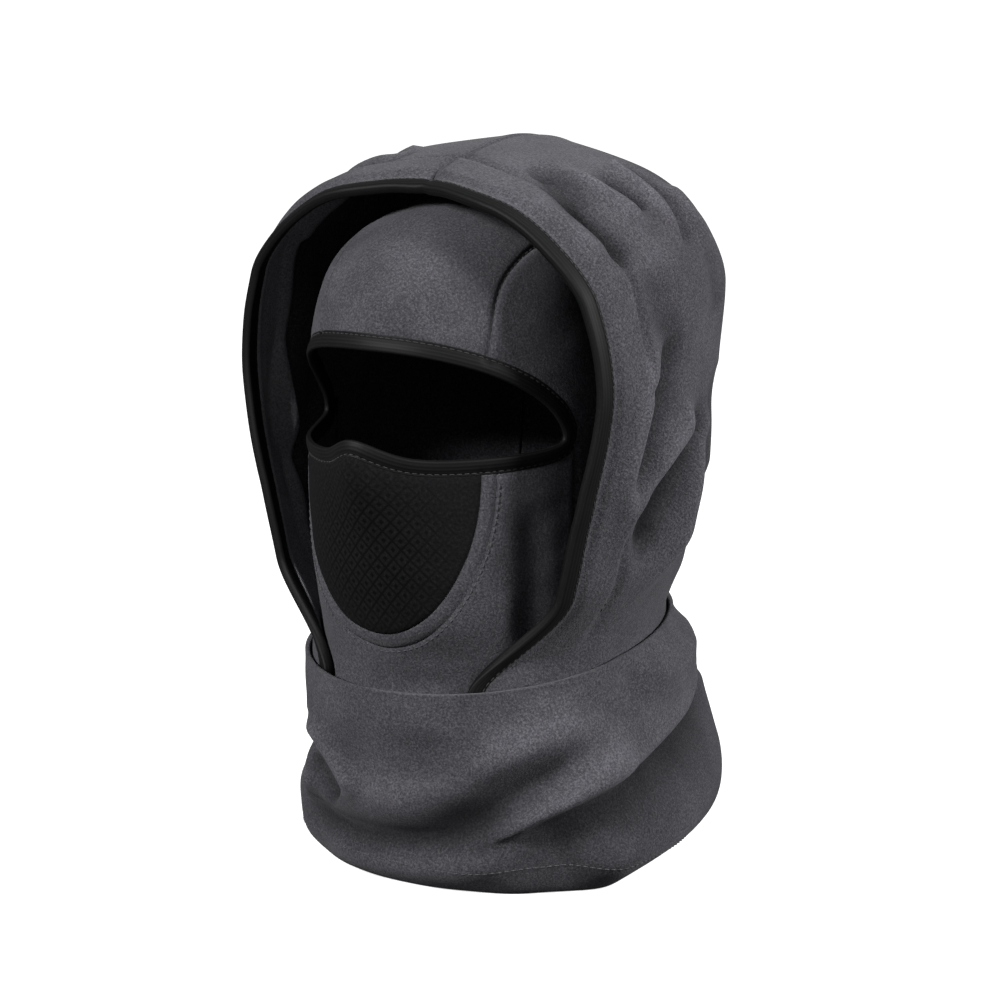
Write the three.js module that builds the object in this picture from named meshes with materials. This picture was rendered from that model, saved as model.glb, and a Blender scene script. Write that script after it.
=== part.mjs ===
// Winter balaclava: an inner cap and mask under a loose hood, both sewn into a soft neck gaiter.
// Millimetres, +Z up. The face looks along -Y and the wearer's left is +X.
// The origin is under the middle of the whole part, and the gaiter's bottom hem lies on z = 0.
import * as THREE from "three";

// ---------- driving sizes ----------
const HEAD_AROUND = 580; // head circumference the cap is cut for
const HOOD_HEIGHT = 348; // crown of the hood above the bottom hem
const FLEECE = 2.4; // thickness of one layer of fleece
const FACING = 1.6; // thickness of the strip sewn inside the hood's edge
const FACING_WIDTH = 25; // how far that strip reaches back from the binding
const EDGE_TAPE = 9; // width of the binding round the hood's edge
const EYE_TAPE = 8; // width of the binding round the eye opening
const PROUD = 0.3; // how far a binding stands off the cloth on each side
const GAP = 0.3; // air left between neighbouring pieces
const LAYER_GAP = 0.6; // air left between the hood's panel and the strip inside it
const CAP_SEAM_LEFT = 51; // the cap's left seam runs over the head this far from the middle
const CAP_SEAM_RIGHT = 34; // and its right seam this far, as the cap is worn a little turned
const EYE_HALF_ANGLE = 73; // the eye opening's corner, in degrees round from the nose
const EYE_CORNER_Z = 217; // height of that corner
const EYE_RISE = 41; // the upper edge above the corner, over the nose
const EYE_DROP = 8; // the lower edge below the corner, on the cheek
const NOSE_NOTCH = 9; // the lower edge's rise over the nose
const BREATHER_HALF_ANGLE = 44; // half of the breathing panel's width at the top, in degrees
const BREATHER_BOTTOM_Z = 123; // lowest point of the breathing panel
const SURROUND_WIDTH = 6.5; // the strip sewn round the breathing panel
const NECK_FRONT_Z = 88; // height of the neck seam at the chin
const NECK_REAR_Z = 111; // height of the neck seam at the nape
const NECK_SEAM_TALL = 4; // depth of the seam allowance under the neck seam
const THREAD_RADIUS = 0.7;
const AXIS_TO_MIDDLE = 29; // the whole part's middle is this far behind the head's own axis

// ---------- everything else follows from the two overall sizes ----------
const WIDE = HEAD_AROUND / 580;
const TALL = HOOD_HEIGHT / 348;
const RAD = Math.PI / 180;

// The inner cap and mask: half width, reach to the front and reach to the back, up the head.
const HEAD = [
  { at: 80, half: 73.5, front: 68.5, back: 95 },
  { at: 98, half: 73.5, front: 68.5, back: 95 },
  { at: 112, half: 73, front: 70.5, back: 94 },
  { at: 130, half: 71, front: 79, back: 93 },
  { at: 160, half: 72, front: 86, back: 94 },
  { at: 200, half: 73, front: 88, back: 98 },
  { at: 232, half: 74, front: 88, back: 100 },
];
const DOME_Z = 232; // where the cap's straight sides end
const DOME_HEIGHT = 90;
const DOME_LEAN = 4; // the crown sits this much behind the middle
const NOSE = { reach: 9, z: 205, tall: 26, halfAngle: 12 };

// The hood, up its front edge from the neck to the crown. Each station gives a point of the edge,
// the widest half width behind it, the height the cloth swells to and the point of the rear seam.
const HOOD = [
  { at: 0.0, edgeX: 44, edgeY: -62, edgeZ: 94, half: 83, swell: 106, rearY: 108, rearZ: 116 },
  { at: 0.16, edgeX: 76, edgeY: -48, edgeZ: 145, half: 94, swell: 150, rearY: 112, rearZ: 150 },
  { at: 0.32, edgeX: 95, edgeY: -48, edgeZ: 188, half: 102, swell: 196, rearY: 121, rearZ: 186 },
  { at: 0.5, edgeX: 105, edgeY: -46, edgeZ: 240, half: 107, swell: 260, rearY: 126, rearZ: 214 },
  { at: 0.66, edgeX: 97, edgeY: -48, edgeZ: 281, half: 103, swell: 306, rearY: 128, rearZ: 232 },
  { at: 0.78, edgeX: 76, edgeY: -51, edgeZ: 307, half: 86, swell: 344, rearY: 128, rearZ: 244 },
  { at: 0.89, edgeX: 45, edgeY: -52, edgeZ: 324, half: 52, swell: 376, rearY: 128, rearZ: 252 },
  { at: 1.0, edgeX: 0, edgeY: -42, edgeZ: 331, half: 0, swell: 392, rearY: 128, rearZ: 256 },
];
const HOOD_FULLNESS = 2.15; // 2 is a plain ellipse seen from above, more is squarer

// The gaiter, from the hem up to its rim: heights at the front and at the rear, and its reaches.
const GAITER = [
  { at: 0.0, frontZ: 0, rearZ: 0, half: 70, front: 47, back: 80 },
  { at: 0.09, frontZ: 0, rearZ: 0, half: 79, front: 56, back: 92 },
  { at: 0.2, frontZ: 12, rearZ: 20, half: 90, front: 66, back: 126 },
  { at: 0.36, frontZ: 32, rearZ: 48, half: 96, front: 71, back: 152 },
  { at: 0.54, frontZ: 54, rearZ: 74, half: 91, front: 71, back: 147 },
  { at: 0.68, frontZ: 69, rearZ: 90, half: 87, front: 74, back: 124 },
  { at: 0.8, frontZ: 81, rearZ: 104, half: 84, front: 77, back: 116 },
  { at: 1.0, frontZ: 97, rearZ: 122, half: 84, front: 77, back: 116 },
];

// ---------- small tools ----------
const mix = (a, b, t) => a + (b - a) * t;
const smooth = (t) => {
  const k = Math.min(1, Math.max(0, t));
  return k * k * (3 - 2 * k);
};

// One value of a station table at a place between its rows, without overshoot.
function between(table, key, at) {
  const last = table.length - 1;
  const x = Math.min(table[last].at, Math.max(table[0].at, at));
  let i = 0;
  while (i < last - 1 && x > table[i + 1].at) i += 1;
  const slope = (k) => (table[k + 1][key] - table[k][key]) / (table[k + 1].at - table[k].at);
  const tangent = (k) => {
    if (k === 0) return slope(0);
    if (k === last) return slope(last - 1);
    const before = slope(k - 1);
    const after = slope(k);
    return before * after <= 0 ? 0 : (2 * before * after) / (before + after);
  };
  const span = table[i + 1].at - table[i].at;
  const t = (x - table[i].at) / span;
  const [a, b] = [table[i][key], table[i + 1][key]];
  const [p, q] = [tangent(i) * span, tangent(i + 1) * span];
  const t2 = t * t;
  const t3 = t2 * t;
  return a * (2 * t3 - 3 * t2 + 1) + p * (t3 - 2 * t2 + t) + b * (3 * t2 - 2 * t3) + q * (t3 - t2);
}

// ---------- the three surfaces the cloth follows ----------
// The inner cap and mask. u is in degrees round from the nose, v is the height up the sides
// and carries on as a distance over the dome.
function head(u, v) {
  const z = Math.min(v, DOME_Z);
  const climb = Math.max(0, v - DOME_Z) / DOME_HEIGHT;
  const k = Math.cos(climb);
  const c = Math.cos(u * RAD);
  const bump = Math.exp(-((u / NOSE.halfAngle) ** 2) - ((v - NOSE.z) / NOSE.tall) ** 2);
  const reach = c > 0 ? between(HEAD, "front", z) + NOSE.reach * bump : between(HEAD, "back", z);
  const x = between(HEAD, "half", z) * k * Math.sin(u * RAD);
  const y = DOME_LEAN * (1 - k) - reach * k * c;
  return new THREE.Vector3(x * WIDE, y * WIDE, (z + DOME_HEIGHT * Math.sin(climb)) * TALL);
}

// The gaiter. u is in degrees round from the front, h runs from the hem to the rim.
function gaiter(u, h) {
  const c = Math.cos(u * RAD);
  const reach = c > 0 ? between(GAITER, "front", h) : between(GAITER, "back", h);
  const z = mix(between(GAITER, "frontZ", h), between(GAITER, "rearZ", h), (1 - c) / 2);
  const x = between(GAITER, "half", h) * Math.sin(u * RAD);
  return new THREE.Vector3(x * WIDE, -reach * c * WIDE, z * TALL);
}

// The line of the neck seam, sunk a distance inside the gaiter's collar.
const neckZ = (u) => mix(NECK_FRONT_Z, NECK_REAR_Z, (1 - Math.cos(u * RAD)) / 2) * TALL;
function neck(u, sunk, z) {
  const rim = gaiter(u, 1);
  const side = gaiter(u + 0.5, 1).sub(gaiter(u - 0.5, 1));
  const out = new THREE.Vector3(side.y, -side.x, 0).normalize();
  return rim.addScaledVector(out, -sunk).setZ(z);
}

// The hood. s runs from the neck (0) over the crown (1) and down the other side (2),
// t runs from the front edge (0) to the rear seam (1).
const HOOD_SUNK = FLEECE + 3 * GAP + PROUD;
const HOOD_CORNER = 31; // where the hood's edge meets the neck seam, in degrees
function hood(s, t) {
  const along = s <= 1 ? s : 2 - s;
  const side = s <= 1 ? 1 : -1;
  const at = (key) => between(HOOD, key, along);
  const edge = new THREE.Vector3(at("edgeX"), at("edgeY"), at("edgeZ"));
  const rear = new THREE.Vector3(0, at("rearY"), at("rearZ"));
  const half = Math.max(at("half"), edge.x);
  const spread = half - edge.x + Math.sqrt(2 * half * (half - edge.x));
  const corner = new THREE.Vector3(edge.x + spread, rear.y, at("swell"));
  const centre = edge.clone().add(rear).sub(corner);
  const [a, b] = [Math.cos((t * Math.PI) / 2), Math.sin((t * Math.PI) / 2)];
  const round = (Math.abs(a) ** HOOD_FULLNESS + Math.abs(b) ** HOOD_FULLNESS) ** (1 / HOOD_FULLNESS);
  const point = centre.clone();
  point.addScaledVector(edge.clone().sub(centre), a / round);
  point.addScaledVector(rear.clone().sub(centre), b / round);
  point.set(point.x * WIDE, point.y * WIDE, point.z * TALL);
  const u = mix(HOOD_CORNER, 180, t);
  const base = neck(u, HOOD_SUNK, neckZ(u) + 2 * GAP);
  const rise = smooth(along / 0.3);
  const leave = smooth((along - mix(0.09, 0.14, t)) / mix(0.12, 0.25, t)); // clear of the collar first
  return new THREE.Vector3(
    side * mix(base.x, point.x, leave),
    mix(base.y, point.y, leave),
    mix(base.z, point.z, rise),
  );
}

// ---------- solid builders ----------
function outward(surface, a, b, step) {
  const da = surface(a + step, b).sub(surface(a - step, b));
  const db = surface(a, b + step).sub(surface(a, b - step));
  return (surface === hood ? db.cross(da) : da.cross(db)).normalize();
}

// A closed piece of cloth: a grid laid on a surface, with its thickness taken inwards.
// place(i, j) gives the surface's own two coordinates for i and j from 0 to 1.
function cloth({ surface, place, across, along, thick, sink = 0, ring = false, step, trim }) {
  const rows = ring ? across : across + 1;
  const base = [];
  const outer = [];
  const inner = [];
  for (let i = 0; i < rows; i += 1) {
    for (let j = 0; j <= along; j += 1) {
      const [a, b] = place(i / across, j / along);
      const point = surface(a, b);
      const out = outward(surface, a, b, step);
      base.push(point);
      outer.push(point.clone().addScaledVector(out, -sink));
      inner.push(point.clone().addScaledVector(out, -sink - thick));
    }
  }
  const points = [...outer, ...inner];
  if (trim) points.forEach(trim);
  const id = (i, j, layer) => layer * outer.length + (i % rows) * (along + 1) + j;
  const faces = [];
  const quad = (a, b, c, d) => faces.push(a, b, c, a, c, d);
  const apart = (a, b) => base[a].distanceTo(base[b]);
  const edge = (a, b, c, d) => {
    const turn = points[a].distanceTo(points[c]) > points[b].distanceTo(points[d]);
    return turn ? quad(b, c, d, a) : quad(a, b, c, d);
  };
  for (let i = 0; i < across; i += 1) {
    for (let j = 0; j < along; j += 1) {
      // Both layers split along the base surface's shorter diagonal, so neighbours agree.
      const turn = apart(id(i, j, 0), id(i + 1, j + 1, 0)) > apart(id(i + 1, j, 0), id(i, j + 1, 0));
      const [p, q, r, t] = turn
        ? [[i + 1, j], [i + 1, j + 1], [i, j + 1], [i, j]]
        : [[i, j], [i + 1, j], [i + 1, j + 1], [i, j + 1]];
      quad(id(...p, 0), id(...q, 0), id(...r, 0), id(...t, 0));
      quad(id(...p, 1), id(...t, 1), id(...r, 1), id(...q, 1));
    }
    edge(id(i, 0, 0), id(i, 0, 1), id(i + 1, 0, 1), id(i + 1, 0, 0));
    edge(id(i, along, 0), id(i + 1, along, 0), id(i + 1, along, 1), id(i, along, 1));
  }
  for (let j = 0; !ring && j < along; j += 1) {
    edge(id(0, j, 0), id(0, j + 1, 0), id(0, j + 1, 1), id(0, j, 1));
    edge(id(across, j, 0), id(across, j, 1), id(across, j + 1, 1), id(across, j + 1, 0));
  }
  return solid(points, faces);
}

// A thread: a thin square bar along a line of points, kept just off the cloth under it.
function thread({ surface, place, steps, ring = false, step, lift = 0.8 }) {
  const stops = [];
  for (let i = 0; i < (ring ? steps : steps + 1); i += 1) {
    const [a, b] = place(i / steps);
    const out = outward(surface, a, b, step);
    stops.push({ point: surface(a, b).addScaledVector(out, lift + THREAD_RADIUS), out });
  }
  const count = stops.length;
  const points = stops.flatMap(({ point, out }, i) => {
    const before = stops[ring ? (i + count - 1) % count : Math.max(0, i - 1)].point;
    const after = stops[ring ? (i + 1) % count : Math.min(count - 1, i + 1)].point;
    const side = after.clone().sub(before).cross(out).normalize();
    return [0, 1, 2, 3].map((k) => {
      const turn = (k * Math.PI) / 2;
      return point
        .clone()
        .addScaledVector(out, THREAD_RADIUS * Math.cos(turn))
        .addScaledVector(side, THREAD_RADIUS * Math.sin(turn));
    });
  });
  const faces = [];
  const quad = (a, b, c, d) => faces.push(a, b, c, a, c, d);
  for (let i = 0; i < (ring ? count : count - 1); i += 1) {
    const next = (i + 1) % count;
    for (let k = 0; k < 4; k += 1) {
      const turn = (k + 1) % 4;
      quad(i * 4 + k, next * 4 + k, next * 4 + turn, i * 4 + turn);
    }
  }
  if (!ring) {
    quad(0, 1, 2, 3);
    const end = (count - 1) * 4;
    quad(end, end + 3, end + 2, end + 1);
  }
  return solid(points, faces);
}

// Makes the geometry and turns it the right way out.
function solid(points, faces) {
  let volume = 0;
  for (let k = 0; k < faces.length; k += 3) {
    const [a, b, c] = [points[faces[k]], points[faces[k + 1]], points[faces[k + 2]]];
    volume += a.dot(b.clone().cross(c));
  }
  const index = volume > 0 ? faces : faces.slice().reverse();
  const geometry = new THREE.BufferGeometry();
  const flat = points.flatMap((p) => [p.x, p.y, p.z]);
  geometry.setAttribute("position", new THREE.Float32BufferAttribute(flat, 3));
  geometry.setIndex(index);
  geometry.computeVertexNormals();
  return geometry;
}

function mirrored(geometry) {
  const copy = geometry.clone().scale(-1, 1, 1);
  copy.setIndex(Array.from(copy.index.array).reverse());
  copy.computeVertexNormals();
  return copy;
}

// ---------- lines drawn on the mask ----------
const DEGREE = 1.4; // millimetres to a degree round the mask
const EYE_STEPS = 96;

// The edge of the eye opening, pushed outwards over the cloth by a distance.
function eyeEdge(turn) {
  const c = Math.cos(turn);
  const s = Math.sin(turn);
  const u = EYE_HALF_ANGLE * Math.sign(c) * Math.abs(c) ** 0.85;
  const level = s > 0 ? EYE_RISE * s ** 1.3 : -EYE_DROP * Math.abs(s) ** 0.6;
  const notch = s < 0 ? NOSE_NOTCH * Math.exp(-((u / 13) ** 2)) : 0;
  return new THREE.Vector2(u * DEGREE, EYE_CORNER_Z + level + notch);
}
function eyeLine(turn, push) {
  const side = eyeEdge(turn + 0.05).sub(eyeEdge(turn - 0.05));
  const point = eyeEdge(turn).addScaledVector(new THREE.Vector2(side.y, -side.x).normalize(), push);
  return [point.x / DEGREE, point.y];
}
const eyeOutside = EYE_TAPE + 3 * GAP;
const EYE_OUTER = Array.from({ length: 721 }, (_, k) => eyeLine((k * Math.PI) / 360, eyeOutside));
const EYE_CORNER = EYE_OUTER[0];

// The turn round the opening at which its outer line crosses a place on the wearer's left.
function eyeTurn(u, above) {
  const steps = Array.from({ length: 181 }, (_, k) => (above ? k : 720 - k));
  const k = steps.find((n) => EYE_OUTER[n][0] <= u);
  const [u0, u1] = [EYE_OUTER[k][0], EYE_OUTER[above ? k - 1 : k + 1][0]];
  const back = (u - u0) / (u1 - u0);
  return ((above ? k - back : k + back) * Math.PI) / 360;
}

// The height of the opening's outer line at a place round the mask, above or below the eyes.
function eyeHeight(u, above) {
  const half = above ? EYE_OUTER.slice(0, 361) : EYE_OUTER.slice(360, 721).reverse();
  for (let k = 0; k < half.length - 1; k += 1) {
    const [u0, v0] = half[k];
    const [u1, v1] = half[k + 1];
    if (u <= u0 && u >= u1) return mix(v0, v1, u0 === u1 ? 0 : (u0 - u) / (u0 - u1));
  }
  return EYE_CORNER_Z;
}

// The U-shaped line round the breathing panel, pushed outwards by a distance.
function breatherLine(side, push) {
  const turn = (side * Math.PI) / 2;
  const halfAngle = BREATHER_HALF_ANGLE + push / DEGREE;
  const u = halfAngle * Math.sign(turn) * Math.abs(Math.sin(turn)) ** 1.05;
  const top = eyeHeight(u, false);
  return [u, mix(top, BREATHER_BOTTOM_Z - push, Math.cos(turn) ** 0.92)];
}

// A four-sided patch of a surface's own coordinates between two pairs of lines.
function patch(near, far, left, right) {
  return (i, j) => [0, 1].map((k) => {
    const sides = mix(near(i)[k], far(i)[k], j) + mix(left(j)[k], right(j)[k], i);
    const corners = mix(mix(near(0)[k], near(1)[k], i), mix(far(0)[k], far(1)[k], i), j);
    return sides - corners;
  });
}

// ---------- the cap's own lines ----------
const OVER = Math.PI * DOME_HEIGHT;
const coordinates = (x, z, back) => {
  const k = z > DOME_Z ? Math.sqrt(Math.max(0, 1 - ((z - DOME_Z) / DOME_HEIGHT) ** 2)) : 1;
  const half = between(HEAD, "half", Math.min(z, DOME_Z)) * k;
  const u = Math.asin(Math.min(1, x / half)) / RAD;
  const v = z > DOME_Z ? DOME_Z + DOME_HEIGHT * Math.asin((z - DOME_Z) / DOME_HEIGHT) : z;
  return [back ? 180 - u : u, v];
};
const neckHead = (u) => (neckZ(u) + 4 * GAP) / TALL;

// A line over the head in the plane x, from the eye opening's edge to the nape.
function overHead(x, t) {
  const side = Math.sqrt(Math.max(0, 1 - (x / HEAD[HEAD.length - 1].half) ** 2));
  let v = eyeHeight(0, true);
  for (let k = 0; k < 8; k += 1) {
    const z = DOME_Z + DOME_HEIGHT * Math.sin((v - DOME_Z) / DOME_HEIGHT);
    v = eyeHeight(coordinates(x, z, false)[0], true);
  }
  const start = DOME_HEIGHT * Math.asin(Math.sin((v - DOME_Z) / DOME_HEIGHT) / side);
  const end = DOME_Z - neckHead(180);
  const d = mix(start, OVER + end, t);
  if (d >= OVER) {
    const z = DOME_Z - (d - OVER);
    const [u] = coordinates(x, z, true);
    return [u, Math.max(z, neckHead(u))];
  }
  const turn = d / DOME_HEIGHT;
  return coordinates(x, DOME_Z + DOME_HEIGHT * side * Math.sin(turn), turn > Math.PI / 2);
}

// The dome seen in flat coordinates, so that a piece may cross its crown.
const TOP = DOME_Z + (DOME_HEIGHT * Math.PI) / 2;
function crown(p, q) {
  return head(Math.atan2(p, -q) / RAD, TOP - Math.hypot(p, q));
}
function crownPlace(x, t) {
  const [u, v] = overHead(Math.abs(x), t);
  const far = TOP - v;
  return [far * Math.sin(u * RAD) * Math.sign(x), -far * Math.cos(u * RAD)];
}

// ---------- pieces of the inner cap and mask ----------
const half = 0.8 * GAP;
const capCentre = cloth({
  surface: crown,
  place: (i, j) => crownPlace(mix(half - CAP_SEAM_RIGHT, CAP_SEAM_LEFT - half, i), j),
  across: 6,
  along: 22,
  thick: FLEECE,
  step: 0.2,
});
const faceSeam = (t) => [EYE_CORNER[0], mix(EYE_CORNER[1], neckHead(EYE_CORNER[0]), t)];
function capSide(seamX) {
  const seam = (t) => overHead(seamX + half, t);
  const seamTurn = eyeTurn(seam(0)[0], true);
  return cloth({
    surface: head,
    place: patch(
      seam,
      faceSeam,
      (t) => eyeLine(mix(seamTurn, 0, t), eyeOutside),
      (t) => {
        const u = mix(seam(1)[0], EYE_CORNER[0], t);
        return [u, neckHead(u)];
      },
    ),
    across: 18,
    along: 11,
    thick: FLEECE,
    step: 0.2,
  });
}
const eyeBinding = cloth({
  surface: head,
  place: (i, j) => eyeLine(i * 2 * Math.PI, mix(0, EYE_TAPE, j)),
  across: EYE_STEPS,
  along: 1,
  thick: FLEECE + 2 * PROUD,
  sink: -PROUD,
  ring: true,
  step: 0.2,
});
const breather = cloth({
  surface: head,
  place: patch(
    (i) => {
      const u = breatherLine(mix(-1, 1, i), 0)[0];
      return [u, eyeHeight(u, false)];
    },
    (i) => breatherLine(mix(-0.55, 0.55, i), 0),
    (j) => breatherLine(mix(-1, -0.55, j), 0),
    (j) => breatherLine(mix(1, 0.55, j), 0),
  ),
  across: 30,
  along: 5,
  thick: FLEECE,
  step: 0.2,
});
const breatherSurround = cloth({
  surface: head,
  place: (i, j) => breatherLine(mix(-1, 1, i), mix(GAP, GAP + SURROUND_WIDTH, j)),
  across: 30,
  along: 1,
  thick: FLEECE,
  step: 0.2,
});
// Outer line of the lower face: down one seam, along the neck and up the other seam.
const FACE_SEAM = EYE_CORNER[0] - 0.5;
function faceOutside(t) {
  const down = (k) => mix(EYE_CORNER[1] - 3, neckHead(FACE_SEAM), k);
  if (t < 1 / 3) return [-FACE_SEAM, down(t * 3)];
  if (t > 2 / 3) return [FACE_SEAM, down((1 - t) * 3)];
  const u = mix(-FACE_SEAM, FACE_SEAM, t * 3 - 1);
  return [u, neckHead(u)];
}
const faceInside = (i) => breatherLine(mix(-1, 1, i), SURROUND_WIDTH + 2 * GAP);
const cheekTurns = [faceInside(1)[0], FACE_SEAM].map((u) => eyeTurn(u, false));
const cheekTop = (j) => eyeLine(mix(cheekTurns[0], cheekTurns[1], j ** 0.8), eyeOutside);
const facePanel = cloth({
  surface: head,
  place: patch(
    faceInside,
    (i) => {
      const [u, v] = faceOutside(i);
      return i === 0 || i === 1 ? [u, cheekTop(1)[1]] : [u, v];
    },
    (j) => [-cheekTop(j)[0], cheekTop(j)[1]],
    cheekTop,
  ),
  across: 36,
  along: 8,
  thick: FLEECE,
  step: 0.2,
});
const surroundStitch = thread({
  surface: head,
  place: (t) => breatherLine(mix(-0.97, 0.97, t), GAP + SURROUND_WIDTH + 1.5),
  steps: 26,
  step: 0.2,
});
const capSeamThread = (seamX) => thread({
  surface: crown,
  place: (t) => crownPlace(seamX, mix(0.02, 0.98, t)),
  steps: 22,
  step: 0.2,
});

// ---------- pieces of the hood ----------
// How far round the hood a distance back from its front edge is.
function backFromEdge(s, distance) {
  let t = 0;
  let gone = 0;
  let from = hood(s, 0);
  while (gone < distance && t < 0.5) {
    t += 0.004;
    const to = hood(s, t);
    gone += to.distanceTo(from);
    from = to;
  }
  return t - ((gone - distance) / Math.max(1e-6, gone)) * t;
}
const clearOfMiddle = (point) => {
  point.x = Math.max(point.x, half);
};
// The panel shares its rows and its first columns with the binding and the facing beside it.
const HOOD_ROWS = 20;
const HOOD_COLUMNS = 14;
const FACING_COLUMNS = 2;
const hoodRow = (i) => (i <= 1 ? i * (0.6 + 0.4 * i) : 2 - hoodRow(2 - i)); // closer near the neck
function hoodColumn(s, j) {
  const back = (j * HOOD_COLUMNS) / FACING_COLUMNS;
  const front = backFromEdge(s, mix(EDGE_TAPE + 3 * GAP, EDGE_TAPE + FACING_WIDTH, Math.min(1, back)));
  return back <= 1 ? front : mix(front, 1, (back - 1) / (HOOD_COLUMNS / FACING_COLUMNS - 1));
}
const hoodPanel = cloth({
  surface: hood,
  place: (i, j) => [hoodRow(i), hoodColumn(hoodRow(i), j)],
  across: HOOD_ROWS,
  along: HOOD_COLUMNS,
  thick: FLEECE,
  step: 0.002,
  trim: clearOfMiddle,
});
const hoodFacing = cloth({
  surface: hood,
  place: (i, j) => [hoodRow(i), hoodColumn(hoodRow(i), (j * FACING_COLUMNS) / HOOD_COLUMNS)],
  across: HOOD_ROWS,
  along: FACING_COLUMNS,
  thick: FACING,
  sink: FLEECE + LAYER_GAP,
  step: 0.002,
  trim: clearOfMiddle,
});
const hoodBinding = cloth({
  surface: hood,
  place: (i, j) => [hoodRow(2 * i), backFromEdge(hoodRow(2 * i), EDGE_TAPE * j)],
  across: 2 * HOOD_ROWS,
  along: 1,
  thick: FLEECE + LAYER_GAP + FACING + 2 * PROUD,
  sink: -PROUD,
  step: 0.002,
});
const hoodTopstitch = thread({
  surface: hood,
  place: (t) => {
    const s = mix(0.19, 0.985, t);
    return [s, backFromEdge(s, EDGE_TAPE + FACING_WIDTH - 2)];
  },
  steps: 22,
  step: 0.002,
});
// Over the crown and down the back: first along s = 1, then along t = 1.
const hoodSeamThread = thread({
  surface: hood,
  place: (t) => (t < 0.5
    ? [1, mix(backFromEdge(1, EDGE_TAPE + 2), 0.999, t / 0.5)]
    : [mix(0.999, 0.22, (t - 0.5) / 0.5), 0.9999]),
  steps: 26,
  step: 0.002,
});

// ---------- pieces of the gaiter ----------
const HEM_FLAT = GAITER[1].at; // the hem's flat base reaches this far up the cloth
const gaiterTube = cloth({
  surface: gaiter,
  place: (i, j) => [i * 360, j < 0.15 ? j * 10 * HEM_FLAT : j],
  across: 44,
  along: 10,
  thick: FLEECE,
  ring: true,
  step: 0.01,
});
const gaiterHemStitch = thread({
  surface: gaiter,
  place: (t) => [t * 360, 0.2],
  steps: 44,
  ring: true,
  step: 0.01,
});
const gaiterBackSeam = thread({
  surface: gaiter,
  place: (t) => [180, mix(0.23, 0.99, t)],
  steps: 16,
  lift: 1.5,
  step: 0.01,
});
// The seam allowance that joins gaiter, hood and cap: a ring with a flat top and bottom.
function neckSeam() {
  const steps = 44;
  const deep = FLEECE + 2 * GAP;
  const points = [];
  const faces = [];
  const quad = (a, b, c, d) => faces.push(a, b, c, a, c, d);
  for (let i = 0; i < steps; i += 1) {
    const u = (i / steps) * 360;
    const z = neckZ(u);
    const inside = head(u, z / TALL).addScaledVector(outward(head, u, z / TALL, 0.2), -FLEECE);
    points.push(neck(u, deep, z), neck(u, deep, z - NECK_SEAM_TALL));
    points.push(inside.clone().setZ(z - NECK_SEAM_TALL), inside.clone().setZ(z));
    const next = ((i + 1) % steps) * 4;
    for (let k = 0; k < 4; k += 1) {
      quad(i * 4 + k, next + k, next + ((k + 1) % 4), i * 4 + ((k + 1) % 4));
    }
  }
  return solid(points, faces);
}

// ---------- colours and the assembly ----------
const stuff = (color, roughness) => new THREE.MeshStandardMaterial({ color, roughness, metalness: 0 });
const FLEECE_GREY = stuff(0x55545a, 0.95);
const LINING_GREY = stuff(0x4a494e, 0.95);
const TAPE_BLACK = stuff(0x18181a, 0.6);
const BREATHER_BLACK = stuff(0x232326, 0.9);
const THREAD_GREY = stuff(0x3c3b40, 0.8);

const part = new THREE.Group();
part.name = "balaclava";
function add(name, geometry, material) {
  geometry.translate(0, -AXIS_TO_MIDDLE * WIDE, 0);
  const mesh = new THREE.Mesh(geometry, material);
  mesh.name = name;
  part.add(mesh);
}
function addPair(left, right, geometry, material) {
  const other = mirrored(geometry);
  add(left, geometry, material);
  add(right, other, material);
}

add("cap_centre_panel", capCentre, FLEECE_GREY);
add("cap_left_panel", capSide(CAP_SEAM_LEFT), FLEECE_GREY);
add("cap_right_panel", mirrored(capSide(CAP_SEAM_RIGHT)), FLEECE_GREY);
add("cap_left_seam_thread", capSeamThread(CAP_SEAM_LEFT), THREAD_GREY);
add("cap_right_seam_thread", mirrored(capSeamThread(CAP_SEAM_RIGHT)), THREAD_GREY);
add("face_panel", facePanel, FLEECE_GREY);
add("breather_panel", breather, BREATHER_BLACK);
add("breather_surround", breatherSurround, FLEECE_GREY);
add("surround_stitch", surroundStitch, THREAD_GREY);
add("eye_binding", eyeBinding, TAPE_BLACK);
addPair("hood_left_panel", "hood_right_panel", hoodPanel, FLEECE_GREY);
addPair("hood_left_facing", "hood_right_facing", hoodFacing, LINING_GREY);
add("hood_edge_binding", hoodBinding, TAPE_BLACK);
addPair("hood_left_topstitch", "hood_right_topstitch", hoodTopstitch, THREAD_GREY);
add("hood_seam_thread", hoodSeamThread, THREAD_GREY);
add("gaiter_tube", gaiterTube, FLEECE_GREY);
add("gaiter_hem_stitch", gaiterHemStitch, THREAD_GREY);
add("gaiter_back_seam_thread", gaiterBackSeam, THREAD_GREY);
add("neck_seam_allowance", neckSeam(), LINING_GREY);

export default part;
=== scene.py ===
"""A winter balaclava of brushed fleece: a cap and mask under a loose hood, sewn into a neck gaiter.

The cloth lies on the same three surfaces as the model. Sizes below are in millimetres, with the
face looking along -Y, +Z up and the gaiter's hem on the floor.
"""
import math

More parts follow.
